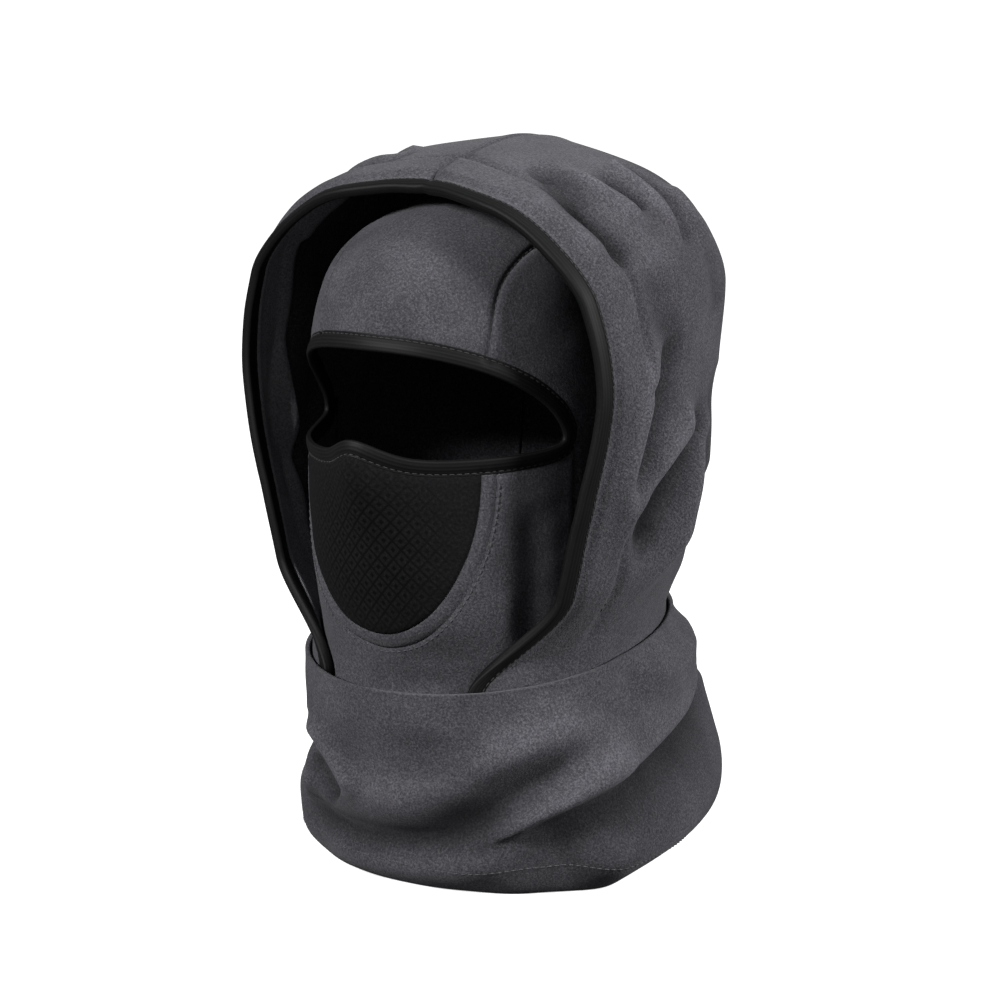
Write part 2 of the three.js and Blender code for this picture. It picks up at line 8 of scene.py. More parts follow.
import bpy
import numpy as np
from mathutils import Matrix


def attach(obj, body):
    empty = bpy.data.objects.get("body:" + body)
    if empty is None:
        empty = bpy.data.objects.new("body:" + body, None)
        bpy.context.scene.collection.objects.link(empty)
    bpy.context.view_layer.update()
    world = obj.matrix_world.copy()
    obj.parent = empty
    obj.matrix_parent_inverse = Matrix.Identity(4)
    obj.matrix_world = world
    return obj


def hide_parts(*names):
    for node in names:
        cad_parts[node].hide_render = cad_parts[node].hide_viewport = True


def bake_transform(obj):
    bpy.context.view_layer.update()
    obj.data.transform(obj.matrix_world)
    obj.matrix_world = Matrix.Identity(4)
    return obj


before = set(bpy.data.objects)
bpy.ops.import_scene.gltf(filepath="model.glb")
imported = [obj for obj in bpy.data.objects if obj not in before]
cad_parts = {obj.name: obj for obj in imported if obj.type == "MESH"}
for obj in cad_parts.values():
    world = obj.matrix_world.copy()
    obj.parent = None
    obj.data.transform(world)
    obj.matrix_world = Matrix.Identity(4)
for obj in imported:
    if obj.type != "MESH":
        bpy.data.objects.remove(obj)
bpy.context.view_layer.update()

# ---------- the maker's sizes ----------
MM = 0.001
HEAD_AROUND = 580
HOOD_HEIGHT = 348
FLEECE = 2.4
FACING = 1.6
FACING_WIDTH = 25
EDGE_TAPE = 9
EYE_TAPE = 8
PROUD = 0.3
GAP = 0.3
LAYER_GAP = 0.6
CAP_SEAM_LEFT = 51
CAP_SEAM_RIGHT = 34
EYE_HALF_ANGLE = 73
EYE_CORNER_Z = 217
EYE_RISE = 41
EYE_DROP = 8
NOSE_NOTCH = 9
BREATHER_HALF_ANGLE = 44
BREATHER_BOTTOM_Z = 123
SURROUND_WIDTH = 6.5
NECK_FRONT_Z = 88
NECK_REAR_Z = 111
NECK_SEAM_TALL = 4
AXIS_TO_MIDDLE = 29
WIDE = HEAD_AROUND / 580
TALL = HOOD_HEIGHT / 348
DEGREE = 1.4  # millimetres to a degree round the mask

# Height, half width, reach to the front, reach to the back.
HEAD = np.array([
    (80, 73.5, 68.5, 95),
    (98, 73.5, 68.5, 95),
    (112, 73, 70.5, 94),
    (130, 71, 79, 93),
    (160, 72, 86, 94),
    (200, 73, 88, 98),
    (232, 74, 88, 100),
], float)
DOME_Z = 232
DOME_HEIGHT = 90
DOME_LEAN = 4
NOSE_REACH = 9
CAP_FULLNESS = 6  # the cap rounds out this much over the brow
SEAM_LEAN = 5  # the left seam leans in this far above the brow

# Place up the hood's edge, the edge's x, y and z, half width, swell, the rear seam's y and z.
HOOD = np.array([
    (0.00, 44, -62, 94, 83, 106, 108, 116),
    (0.16, 76, -48, 145, 94, 150, 112, 150),
    (0.32, 95, -48, 188, 102, 196, 121, 186),
    (0.50, 105, -46, 240, 107, 260, 126, 214),
    (0.66, 97, -48, 281, 103, 306, 128, 232),
    (0.78, 76, -51, 307, 86, 344, 128, 244),
    (0.89, 45, -52, 324, 52, 376, 128, 252),
    (1.00, 0, -42, 331, 0, 392, 128, 256),
], float)
HOOD_FULLNESS = 2.15
HOOD_CORNER = 31
HOOD_SUNK = FLEECE + 3 * GAP + PROUD

# Place up the gaiter, height in front, height behind, half width, reach to the front and back.
GAITER = np.array([
    (0.00, 0, 0, 70, 47, 80),
    (0.09, 0, 0, 79, 56, 92),
    (0.20, 12, 20, 90, 66, 126),
    (0.36, 32, 48, 96, 71, 152),
    (0.54, 54, 74, 91, 71, 147),
    (0.68, 69, 90, 87, 74, 124),
    (0.80, 81, 104, 84, 77, 116),
    (1.00, 97, 122, 84, 77, 116),
], float)

# ---------- soft folds: places on the cloth, how far they stand out, how broad they are ----------
# On the hood a place is (up the edge, round from the edge to the rear seam).
# These folds are also painted into the fleece, darker in their hollows and lighter on their backs, as
# painted shade and highlight.
HOOD_FOLDS = [
    ([(0.60, 0.15), (0.51, 0.125), (0.46, 0.10), (0.42, 0.09), (0.36, 0.087), (0.29, 0.08)], 4.2, 7),
    ([(0.62, 0.24), (0.52, 0.20), (0.45, 0.165), (0.38, 0.14), (0.31, 0.12)], -5.5, 8),
    ([(0.47, 0.28), (0.415, 0.25), (0.385, 0.20), (0.344, 0.15), (0.30, 0.117), (0.24, 0.10)], 5.2, 7),
    ([(0.44, 0.36), (0.38, 0.31), (0.32, 0.24), (0.27, 0.19), (0.22, 0.17)], -7.5, 9),
    ([(0.44, 0.37), (0.40, 0.355), (0.36, 0.335), (0.305, 0.31), (0.25, 0.29), (0.17, 0.28)], 4.6, 7),
    ([(0.39, 0.42), (0.34, 0.40), (0.28, 0.38), (0.20, 0.37)], -5.5, 8),
    ([(0.26, 0.60), (0.22, 0.60), (0.17, 0.62), (0.12, 0.64)], 3.5, 9),
    ([(0.93, 0.16), (0.906, 0.167), (0.816, 0.117), (0.753, 0.124), (0.70, 0.12)], -5.0, 8),
    ([(0.90, 0.16), (0.883, 0.185), (0.839, 0.19), (0.803, 0.207), (0.75, 0.22)], 3.6, 6),
    ([(0.87, 0.25), (0.835, 0.245), (0.79, 0.26)], -4.2, 5.5),
    ([(0.89, 0.29), (0.876, 0.294), (0.829, 0.294), (0.779, 0.301), (0.72, 0.30)], 3.4, 6),
    ([(0.88, 0.33), (0.866, 0.331), (0.813, 0.338), (0.763, 0.324), (0.70, 0.35)], -3.6, 6),
    ([(0.85, 0.40), (0.78, 0.40), (0.70, 0.42)], 2.8, 8),
    ([(0.86, 0.03), (0.82, 0.045), (0.766, 0.067), (0.712, 0.08)], 2.4, 11),
    ([(0.70, 0.17), (0.62, 0.18), (0.56, 0.20)], -2.6, 10),
    ([(0.74, 0.40), (0.66, 0.42), (0.58, 0.44)], -2.2, 12),
    ([(0.70, 0.62), (0.60, 0.70), (0.48, 0.76)], -3.0, 14),
    ([(0.50, 0.50), (0.40, 0.49), (0.32, 0.50), (0.25, 0.52), (0.19, 0.55)], -6.2, 19),
]
# On the gaiter a place is (degrees round from the front, up from the hem). These are its broad rolls.
GAITER_ROLLS = [
    ([(60, 0.16), (80, 0.19), (100, 0.22), (118, 0.24), (140, 0.25), (170, 0.25)], 11.0, 17),
    ([(92, 0.80), (112, 0.79), (130, 0.79), (150, 0.80)], 10.0, 14),
    ([(-112, 0.62), (-90, 0.62), (-70, 0.63), (-54, 0.63), (-42, 0.62), (-34, 0.60)], -9.0, 10),
    ([(-128, 0.48), (-100, 0.48), (-80, 0.47), (-62, 0.46), (-50, 0.46), (-42, 0.48)], -9.0, 15),
    ([(-110, 0.17), (-85, 0.17), (-62, 0.17), (-40, 0.16)], 3.0, 11),
]
# And these are its folds, which are also painted darker in their hollows and lighter on their backs, as
# painted shade and highlight.
GAITER_FOLDS = [
    ([(-66, 0.34), (-48, 0.31), (-35, 0.29), (-18, 0.272), (0, 0.278), (15, 0.31), (28, 0.39), (40, 0.47),
      (52, 0.54), (64, 0.59), (78, 0.61)], -8.5, 11),
    ([(-20, 0.52), (0, 0.47), (16, 0.49), (30, 0.58), (46, 0.67), (66, 0.73), (90, 0.76)], 5.5, 13),
    ([(30, 0.30), (42, 0.395), (54, 0.47), (66, 0.51), (80, 0.54), (94, 0.57)], 3.0, 10),
    ([(-60, 0.70), (-46, 0.69), (-34, 0.66), (-25, 0.60), (-18, 0.53), (-13, 0.46), (-13, 0.39)], 4.5, 6),
    ([(-40, 0.52), (-31, 0.48), (-24, 0.43), (-20, 0.38)], -6.0, 6),
    ([(-34, 0.44), (-40, 0.40), (-46, 0.35), (-50, 0.30)], 3.6, 6),
    ([(-40, 0.20), (-15, 0.19), (15, 0.20), (45, 0.23)], 3.5, 9),
    ([(-150, 0.60), (-130, 0.56), (-110, 0.50), (-88, 0.46)], 5.0, 10),
    ([(-150, 0.50), (-128, 0.45), (-108, 0.39), (-88, 0.35), (-72, 0.32)], -6.0, 8),
    ([(-150, 0.70), (-120, 0.68), (-95, 0.64)], -4.0, 9),
    ([(150, 0.62), (165, 0.58), (180, 0.57)], -4.5, 12),
    ([(-150, 0.60), (-165, 0.58), (-180, 0.57)], -4.5, 12),
]
# Where the gaiter's cloth laps over itself: the places, how far it stands out above the line and is
# tucked in below it, the step's softness, and how far it reaches above and below.
# A lap is also painted into the fleece, lighter above its line and darker below it, as painted highlight
# and shade.
GAITER_LAPS = [
    ([(26, 0.26), (34, 0.31), (42, 0.35), (49, 0.387), (59, 0.42), (72, 0.452), (88, 0.482), (98, 0.518),
      (105, 0.543), (113, 0.568), (122, 0.60), (136, 0.63), (150, 0.64)], 3.5, 8.5, 1.8, 20, 27),
]
# On the mask a place is (degrees round from the nose, height).
MASK_FOLDS = [
    ([(60, 190), (62, 160), (60, 130), (56, 108)], -2.2, 8),
    ([(52, 150), (50, 125), (44, 104)], 1.2, 7),
    ([(-60, 190), (-62, 160), (-60, 130)], -2.0, 8),
    ([(-10, 103), (12, 99), (34, 104)], -1.4, 7),
]


# ---------- small tools ----------
def mix(a, b, t):
    return a + (b - a) * t


def smooth(t):
    k = np.clip(t, 0, 1)
    return k * k * (3 - 2 * k)


def between(table, place):
    """Every column of a station table at a place between its rows, without overshoot."""
    x, y = table[:, 0], table[:, 1:]
    place = np.clip(np.asarray(place, float), x[0], x[-1])
    slope = np.diff(y, axis=0) / np.diff(x)[:, None]
    tangent = np.zeros_like(y)
    tangent[0], tangent[-1] = slope[0], slope[-1]
    product = slope[:-1] * slope[1:]
    total = np.where(product > 0, slope[:-1] + slope[1:], 1)
    tangent[1:-1] = np.where(product > 0, 2 * product / total, 0)
    k = np.clip(np.searchsorted(x, place, side="right") - 1, 0, len(x) - 2)
    span = np.diff(x)[k]
    t = ((place - x[k]) / span)[..., None]
    span = span[..., None]
    start = y[k] * (2 * t**3 - 3 * t**2 + 1) + tangent[k] * span * (t**3 - 2 * t**2 + t)
    return start + y[k + 1] * (3 * t**2 - 2 * t**3) + tangent[k + 1] * span * (t**3 - t**2)


# ---------- the three surfaces ----------
def head(u, v):
    """The inner cap and mask: degrees round from the nose, height and then the way over the dome."""
    u, v = np.broadcast_arrays(np.asarray(u, float), np.asarray(v, float))
    z = np.minimum(v, DOME_Z)
    climb = np.maximum(0, v - DOME_Z) / DOME_HEIGHT
    k, c = np.cos(climb), np.cos(np.radians(u))
    half, front, back = np.moveaxis(between(HEAD, z), -1, 0)
    bump = NOSE_REACH * np.exp(-((u / 12) ** 2) - ((v - 205) / 26) ** 2)
    reach = np.where(c > 0, front + bump, back)
    x = half * k * np.sin(np.radians(u)) * WIDE
    y = (DOME_LEAN * (1 - k) - reach * k * c) * WIDE
    return np.stack([x, y, (z + DOME_HEIGHT * np.sin(climb)) * TALL], -1)


TOP = DOME_Z + DOME_HEIGHT * math.pi / 2


def crown(p, q):
    """The dome in flat coordinates, so that a piece may cross its crown."""
    return head(np.degrees(np.arctan2(p, -q)), TOP - np.hypot(p, q))


def gaiter(u, h):
    """The gaiter: degrees round from the front, and from the hem (0) to the rim (1)."""
    u, h = np.broadcast_arrays(np.asarray(u, float), np.asarray(h, float))
    c = np.cos(np.radians(u))
    front_z, rear_z, half, front, back = np.moveaxis(between(GAITER, h), -1, 0)
    reach = np.where(c > 0, front, back)
    x = half * np.sin(np.radians(u)) * WIDE
    return np.stack([x, -reach * c * WIDE, mix(front_z, rear_z, (1 - c) / 2) * TALL], -1)


def neck_z(u):
    return mix(NECK_FRONT_Z, NECK_REAR_Z, (1 - np.cos(np.radians(u))) / 2) * TALL


def neck(u, sunk, z):
    """The line of the neck seam, sunk a distance inside the gaiter's collar."""
    rim = gaiter(u, 1).copy()
    side = gaiter(u + 0.5, 1) - gaiter(u - 0.5, 1)
    length = np.hypot(side[..., 0], side[..., 1])
    rim[..., 0] -= sunk * side[..., 1] / length
    rim[..., 1] += sunk * side[..., 0] / length
    rim[..., 2] = z
    return rim


def hood(s, t):
    """The hood: up from the neck (0), over the crown (1) and down (2), and front edge to rear seam."""
    s, t = np.broadcast_arrays(np.asarray(s, float), np.asarray(t, float))
    along = np.where(s <= 1, s, 2 - s)
    side = np.where(s <= 1, 1.0, -1.0)
    ex, ey, ez, half, swell, rear_y, rear_z = np.moveaxis(between(HOOD, along), -1, 0)
    half = np.maximum(half, ex)
    spread = half - ex + np.sqrt(2 * half * (half - ex))
    edge = np.stack([ex, ey, ez], -1)
    rear = np.stack([0 * ex, rear_y, rear_z], -1)
    centre = edge + rear - np.stack([ex + spread, rear_y, swell], -1)
    a, b = np.cos(t * math.pi / 2), np.sin(t * math.pi / 2)
    curve = (np.abs(a) ** HOOD_FULLNESS + np.abs(b) ** HOOD_FULLNESS) ** (1 / HOOD_FULLNESS)
    point = centre + (edge - centre) * (a / curve)[..., None] + (rear - centre) * (b / curve)[..., None]
    point = point * (WIDE, WIDE, TALL)
    u = mix(HOOD_CORNER, 180, t)
    base = neck(u, HOOD_SUNK, neck_z(u) + 2 * GAP)
    leave = smooth((along - mix(0.09, 0.14, t)) / mix(0.12, 0.25, t))
    point = base + (point - base) * np.stack([leave, leave, smooth(along / 0.3)], -1)
    point[..., 0] *= side
    return point


STEP = {head: 0.2, crown: 0.2, gaiter: 0.01, hood: 0.002}


def outward(surface, a, b):
    """The direction off the cloth's face."""
    step = STEP[surface]
    da = surface(a + step, b) - surface(a - step, b)
    db = surface(a, b + step) - surface(a, b - step)
    out = np.cross(db, da) if surface is hood else np.cross(da, db)
    return out / np.maximum(np.linalg.norm(out, axis=-1, keepdims=True), 1e-9)


# ---------- folds ----------
def polyline(points, steps=40):
    """More places along a line of places, rounded at its corners."""
    points = np.asarray(points, float)
    table = np.column_stack([np.linspace(0, 1, len(points)), points])
    return between(table, np.linspace(0, 1, steps))


def to_line(at, line):
    """How far points are from a line, and how far along it (0 to 1) the nearest place on it is."""
    step = np.gradient(line, axis=0)
    spacing = np.maximum(np.linalg.norm(step, axis=-1), 1e-9)
    ahead = step / spacing[:, None]
    nearest = np.concatenate([
        ((line ** 2).sum(1) - 2 * at[start:start + 20000] @ line.T).argmin(1)
        for start in range(0, len(at), 20000)])
    gap = at - line[nearest]
    slip = (gap * ahead[nearest]).sum(1)
    slip = np.clip(slip, -0.6 * spacing[nearest], 0.6 * spacing[nearest])
    away = np.linalg.norm(gap - slip[:, None] * ahead[nearest], axis=-1)
    return away, (nearest + slip / spacing[nearest]) / (len(line) - 1)


def near_line(at, line, width, fade=0.22):
    """1 on a line, falling off to the sides within a width, and fading at its two ends."""
    if len(at) == 0:
        return np.zeros(0)
    away, share = to_line(at, line)
    ends = smooth(share / fade) * smooth((1 - share) / fade) if fade else 1
    return ends * np.exp(-((away / width) ** 2))


def seamed(base, lines, deep, narrow, puff, broad):
    """The relief of seams: a narrow groove with two soft shoulders."""
    relief = np.zeros(len(base))
    for line in lines:
        away, _ = to_line(base, line)
        relief += puff * np.exp(-((away / broad) ** 2)) - deep * np.exp(-((away / narrow) ** 2))
    return relief


def folded(surface, base, folds, mirror=False):
    """The relief of a list of folds at points of the smooth surface."""
    relief = np.zeros(len(base))
    for points, height, width in folds:
        a, b = polyline(points).T
        line = surface(2 - a, b) if mirror else surface(a, b)
        relief += height * near_line(base, line, width)
    return relief


def swaying(base, wave, height):
    """A faint unevenness of hung cloth."""
    x, y, z = (base / wave).T
    soft = np.sin(x + 1.7 * z) + np.sin(1.3 * y - 1.1 * z + 2) + np.sin(0.8 * x - 1.6 * y + 4)
    fine = np.sin(3.1 * x + 2.3 * z + 1) * np.sin(2.7 * y - 3.3 * z)
    return height * (soft / 3 + 0.35 * fine)


# ---------- lines on the mask ----------
def eye_edge(turn):
    c, s = np.cos(turn), np.sin(turn)
    u = EYE_HALF_ANGLE * np.sign(c) * np.abs(c) ** 0.85
    level = np.where(s > 0, EYE_RISE * np.abs(s) ** 1.3, -EYE_DROP * np.abs(s) ** 0.6)
    notch = np.where(s < 0, NOSE_NOTCH * np.exp(-((u / 13) ** 2)), 0)
    return np.stack([u * DEGREE, EYE_CORNER_Z + level + notch], -1)


def eye_line(turn, push):
    """The edge of the eye opening, pushed outwards over the cloth by a distance."""
    side = eye_edge(turn + 0.05) - eye_edge(turn - 0.05)
    side = side / np.linalg.norm(side, axis=-1, keepdims=True)
    point = eye_edge(turn)
    return (point[..., 0] + push * side[..., 1]) / DEGREE, point[..., 1] - push * side[..., 0]


EYE_OUTSIDE = EYE_TAPE - 1.2  # the cloth runs in under the tape
TURNS = np.linspace(0, 2 * math.pi, 721)
OUTER_U, OUTER_V = eye_line(TURNS, EYE_OUTSIDE)
CORNER_U, CORNER_V = OUTER_U[0], OUTER_V[0]


def eye_height(u, above):
    if above:
        return np.interp(u, OUTER_U[360::-1], OUTER_V[360::-1])
    return np.interp(u, OUTER_U[360:], OUTER_V[360:])


def eye_turn(u, above):
    if above:
        return np.interp(u, OUTER_U[180::-1], TURNS[180::-1])
    return np.interp(u, OUTER_U[540:], TURNS[540:])


def breather_line(side, push):
    """The U-shaped line round the breathing panel, pushed outwards."""
    side, push = np.broadcast_arrays(np.asarray(side, float), np.asarray(push, float))
    turn = side * math.pi / 2
    half = BREATHER_HALF_ANGLE + push / DEGREE
    u = half * np.sign(turn) * np.abs(np.sin(turn)) ** 1.05
    low = np.maximum(np.cos(turn), 0) ** 0.92
    return u, mix(eye_height(u, False), BREATHER_BOTTOM_Z - push, low)


def patch(near, far, left, right):
    """A four-sided patch of a surface's own coordinates between two pairs of lines."""
    def place(i, j):
        zero, one = np.zeros_like(i), np.ones_like(i)
        rows = zip(near(i), far(i), left(j), right(j), near(zero), near(one), far(zero), far(one))
        return [mix(n, f, j) + mix(l, r, i) - mix(mix(n0, n1, i), mix(f0, f1, i), j)
                for n, f, l, r, n0, n1, f0, f1 in rows]
    return place


# ---------- lines on the cap ----------
OVER = math.pi * DOME_HEIGHT


def coordinates(x, z, back):
    k = np.sqrt(np.clip(1 - ((z - DOME_Z) / DOME_HEIGHT) ** 2, 0, 1))
    k = np.where(z > DOME_Z, k, 1)
    half = between(HEAD, np.minimum(z, DOME_Z))[..., 0] * k
    u = np.degrees(np.arcsin(np.clip(x / np.maximum(half, 1e-9), -1, 1)))
    over = DOME_Z + DOME_HEIGHT * np.arcsin(np.clip((z - DOME_Z) / DOME_HEIGHT, -1, 1))
    return np.where(back, 180 - u, u), np.where(z > DOME_Z, over, z)


def neck_head(u):
    return (neck_z(u) + 4 * GAP) / TALL


def over_head(x, t):
    """A line over the head in the plane x, from the eye opening's edge to the nape."""
    side = np.sqrt(np.clip(1 - (x / HEAD[-1, 1]) ** 2, 0, 1))
    v = eye_height(np.zeros_like(x), True)
    for _ in range(8):
        z = DOME_Z + DOME_HEIGHT * np.sin((v - DOME_Z) / DOME_HEIGHT)
        v = eye_height(coordinates(x, z, False)[0], True)
    start = DOME_HEIGHT * np.arcsin(np.sin((v - DOME_Z) / DOME_HEIGHT) / side)
    d = mix(start, OVER + DOME_Z - neck_head(180.0), t)
    low = DOME_Z - (d - OVER)
    low_u, _ = coordinates(x, low, np.full(x.shape, True))
    turn = np.minimum(d, OVER) / DOME_HEIGHT
    up_u, up_v = coordinates(x, DOME_Z + DOME_HEIGHT * side * np.sin(turn), turn > math.pi / 2)
    down = d >= OVER
    return np.where(down, low_u, up_u), np.where(down, np.maximum(low, neck_head(low_u)), up_v)


def leaning(x, t):
    """The left seam leans towards the middle above the brow, where the cap is full."""
    lean = SEAM_LEAN * smooth(t / 0.14) * smooth((0.55 - t) / 0.3)
    return x - lean * smooth((x - 20) / (CAP_SEAM_LEFT - 20))


def crown_place(x, t):
    x = leaning(x, t)
    u, v = over_head(np.abs(x), t)
    far = TOP - v
    return far * np.sin(np.radians(u)) * np.sign(x), -far * np.cos(np.radians(u))


def face_seam(t):
    return np.full_like(t, CORNER_U), mix(CORNER_V, neck_head(CORNER_U), t)


FACE_SEAM = CORNER_U - 0.5


def face_outside(t):
    """Down one seam, along the neck and up the other seam."""
    down = np.clip(np.minimum(t, 1 - t) * 3, 0, 1)
    u = np.clip(mix(-FACE_SEAM, FACE_SEAM, t * 3 - 1), -FACE_SEAM, FACE_SEAM)
    side = mix(cheek_top(np.ones(1))[1][0], neck_head(FACE_SEAM), down)
    return u, np.where(np.abs(u) >= FACE_SEAM, side, neck_head(u))


def face_inside(i):
    return breather_line(mix(-1, 1, i), SURROUND_WIDTH + 2 * GAP)


def cheek_top(j):
    first = eye_turn(face_inside(np.ones(1))[0][0], False)
    return eye_line(mix(first, eye_turn(FACE_SEAM, False), j ** 0.8), EYE_OUTSIDE)


# ---------- relief of each surface ----------
def line_of(surface, place, steps=160):
    t = np.linspace(0, 1, steps)
    a, b = place(t)
    return surface(a, b)


SEAM_LINES = [
    line_of(crown, lambda t: crown_place(np.full_like(t, CAP_SEAM_LEFT), t)),
    line_of(crown, lambda t: crown_place(np.full_like(t, -CAP_SEAM_RIGHT), t)),
    line_of(head, face_seam),
    line_of(head, lambda t: (-face_seam(t)[0], face_seam(t)[1])),
]
SURROUND_IN = line_of(head, lambda t: breather_line(mix(-1, 1, t), 0.4 * GAP), 260)
SURROUND_OUT = line_of(head, lambda t: breather_line(mix(-1, 1, t), SURROUND_WIDTH + 1.5 * GAP), 260)
EYE_RIM = line_of(head, lambda t: eye_line(t * 2 * math.pi, EYE_OUTSIDE), 400)


def head_relief(a, b, base):
    relief = swaying(base, 17, 0.45)
    relief += folded(head, base, MASK_FOLDS)
    relief += CAP_FULLNESS * np.exp(-(((base[:, 2] - 291) / 25) ** 2)) * smooth((25 - base[:, 1]) / 60)
    relief += seamed(base, SEAM_LINES, 1.3, 1.7, 0.5, 5)
    relief -= 0.9 * near_line(base, SURROUND_IN, 1.2, 0)
    relief -= 0.9 * near_line(base, SURROUND_OUT, 1.2, 0)
    return relief * 0.999 - 0.7 * near_line(base, EYE_RIM, 2.5, 0)


# Over the crown, and down the back.
HOOD_SEAM_LINES = [
    line_of(hood, lambda t: (np.ones_like(t), mix(0.02, 1, t)), 200),
    line_of(hood, lambda t: (mix(1, 0.12, t), np.ones_like(t)), 200),
]


# The way gone back from the hood's edge: 401 rows along it, at every 0.005 round the hood.
EDGE_WAY = hood(np.linspace(0, 2, 401)[:, None], np.linspace(0, 0.5, 101)[None, :])
EDGE_GONE = np.cumsum(np.linalg.norm(np.diff(EDGE_WAY, axis=1), axis=-1), axis=1)
EDGE_GONE = np.column_stack([np.zeros(401), EDGE_GONE])


def back_from_edge(s, distance):
    """How far round the hood a distance back from its front edge is."""
    s, distance = np.broadcast_arrays(np.asarray(s, float), np.asarray(distance, float))
    place = s * 200
    low = np.clip(place.astype(int), 0, 399)
    part = (place - low)[..., None]
    gone = mix(EDGE_GONE[low], EDGE_GONE[low + 1], part)
    after = np.clip((gone < distance[..., None]).sum(-1), 1, 100)
    g1 = np.take_along_axis(gone, after[..., None], -1)[..., 0]
    g0 = np.take_along_axis(gone, after[..., None] - 1, -1)[..., 0]
    return (after - 1 + (distance - g0) / np.maximum(g1 - g0, 1e-9)) * 0.005


CASING = EDGE_TAPE + FACING_WIDTH - 4
CASING_PUFF = 2.2  # the casing stands out this much, and the cloth behind it dips as far
PEAK_DROP = 2.4  # keeps the edge from peaking at the middle seam
LEFT_FOLDS, RIGHT_FOLDS = 1.3, 0.85  # the left side's folds are deeper than the right's


def edge_line(distance):
    """A line all along the hood, a distance back from its edge."""
    s = np.linspace(0.1, 1.9, 400)
    return hood(s, back_from_edge(s, distance))


def hood_folds(s, t, base):
    left, right = s <= 1, s > 1
    folds = np.zeros(len(base))
    folds[left] = LEFT_FOLDS * folded(hood, base[left], HOOD_FOLDS)
    folds[right] = RIGHT_FOLDS * folded(hood, base[right], HOOD_FOLDS, mirror=True)
    return folds * smooth((t - back_from_edge(s, EDGE_TAPE)) / 0.05)


def hood_relief(s, t, base):
    """Folds, the puffed casing behind the tape, and the seams."""
    along = np.where(s <= 1, s, 2 - s)
    rise = smooth((along - 0.10) / 0.16)
    relief = (hood_folds(s, t, base) + swaying(base, 26, 0.4)) * rise
    back, _ = to_line(base, edge_line(0))
    casing = smooth((back - EDGE_TAPE) / 6) * smooth((CASING + 1 - back) / 2.4)
    ditch = np.exp(-(((back - CASING - 3) / 3.2) ** 2))
    relief += CASING_PUFF * (casing - ditch) * rise
    relief -= PEAK_DROP * np.exp(-((base[:, 0] / 10) ** 2)) * np.exp(-((back / 30) ** 2))
    return relief + seamed(base, HOOD_SEAM_LINES, 1.5, 1.8, 0.6, 6)


def lapped(u, h, base, points, out, tuck, soft, above, below):
    """The relief of one lap: a step across a line, fading away from it and towards its ends."""
    line_u, line_h = polyline(points, 200).T
    away, share = to_line(base, gaiter(line_u, line_h))
    over = h > np.interp(u, line_u, line_h)
    step = np.where(over, out, -tuck) * np.tanh(away / soft)
    ends = smooth(share / 0.3) * smooth((1 - share) / 0.12)
    return step * np.exp(-((away / np.where(over, above, below)) ** 2)) * ends


def gaiter_folds(u, h, base):
    u = (u + 180) % 360 - 180
    folds = folded(gaiter, base, GAITER_FOLDS)
    for lap in GAITER_LAPS:
        folds += lapped(u, h, base, *lap)
    return folds


def gaiter_relief(u, h, base):
    middle = smooth(h / 0.12) * smooth((1 - h) / 0.12)
    rolls = folded(gaiter, base, GAITER_ROLLS) * smooth((h - 0.04) / 0.2)
    return (gaiter_folds(u, h, base) + rolls + swaying(base, 24, 0.9)) * middle


RELIEF = {head: head_relief, crown: head_relief, hood: hood_relief, gaiter: gaiter_relief}
# The folds whose relief is also painted into the fleece, as shade in their hollows and highlight on their
# backs.
PAINTED_SHADE_FOLDS = {hood: hood_folds, gaiter: gaiter_folds}


def lie(surface, a, b, sink=0):
    """Points of the real, folded cloth, sunk a distance under its face."""
    base = surface(a, b)
    shape = base.shape
    flat = base.reshape(-1, 3)
    relief = RELIEF[surface](np.ravel(a), np.ravel(b), flat)
    out = outward(surface, np.ravel(a), np.ravel(b))
    return (flat + out * (relief - sink)[:, None]).reshape(shape)


# ---------- making cloth ----------
def deselect():
    bpy.ops.object.select_all(action="DESELECT")


def new_grid(name, across, along):
    """A plain sheet of that many cells, with the place of each vertex in it from 0 to 1."""
    deselect()
    bpy.ops.mesh.primitive_grid_add(x_subdivisions=across, y_subdivisions=along, size=2)
    piece = bpy.context.active_object
    piece.name = name
    piece.data.name = name
    flat = np.zeros(len(piece.data.vertices) * 3)
    piece.data.vertices.foreach_get("co", flat)
    flat = flat.reshape(-1, 3)
    return piece, (flat[:, 0] + 1) / 2, (flat[:, 1] + 1) / 2


def put(piece, points):
    """Moves the vertices to points in millimetres from the head's own axis."""
    moved = (points - (0, AXIS_TO_MIDDLE * WIDE, 0)) * MM
    piece.data.vertices.foreach_set("co", moved.ravel())
    piece.data.update()


def weave_map(piece, u, v):
    """A UV map in metres of cloth, so that a pattern keeps its real scale."""
    layer = piece.data.uv_layers[0]
    layer.name = "cloth"
    corner = np.zeros(len(piece.data.loops), int)
    piece.data.loops.foreach_get("vertex_index", corner)
    layer.data.foreach_set("uv", np.stack([u[corner], v[corner]], -1).ravel())


def faces_out(piece, sample):
    """Turns the faces over where they look against a sample direction per vertex."""
    normals = np.zeros(len(piece.data.vertices) * 3)
    piece.data.vertices.foreach_get("normal", normals)
    if (normals.reshape(-1, 3) * sample).sum() < 0:
        piece.data.flip_normals()


def edit(piece):
    deselect()
    piece.select_set(True)
    bpy.context.view_layer.objects.active = piece
    bpy.ops.object.mode_set(mode="EDIT")
    bpy.ops.mesh.select_all(action="SELECT")


def closed(piece, distance=0.02):
    edit(piece)
    bpy.ops.mesh.remove_doubles(threshold=distance * MM)
    bpy.ops.object.mode_set(mode="OBJECT")


def finished(piece, modifier):
    deselect()
    piece.select_set(True)
    bpy.context.view_layer.objects.active = piece
    bpy.ops.object.modifier_apply(modifier=modifier.name)


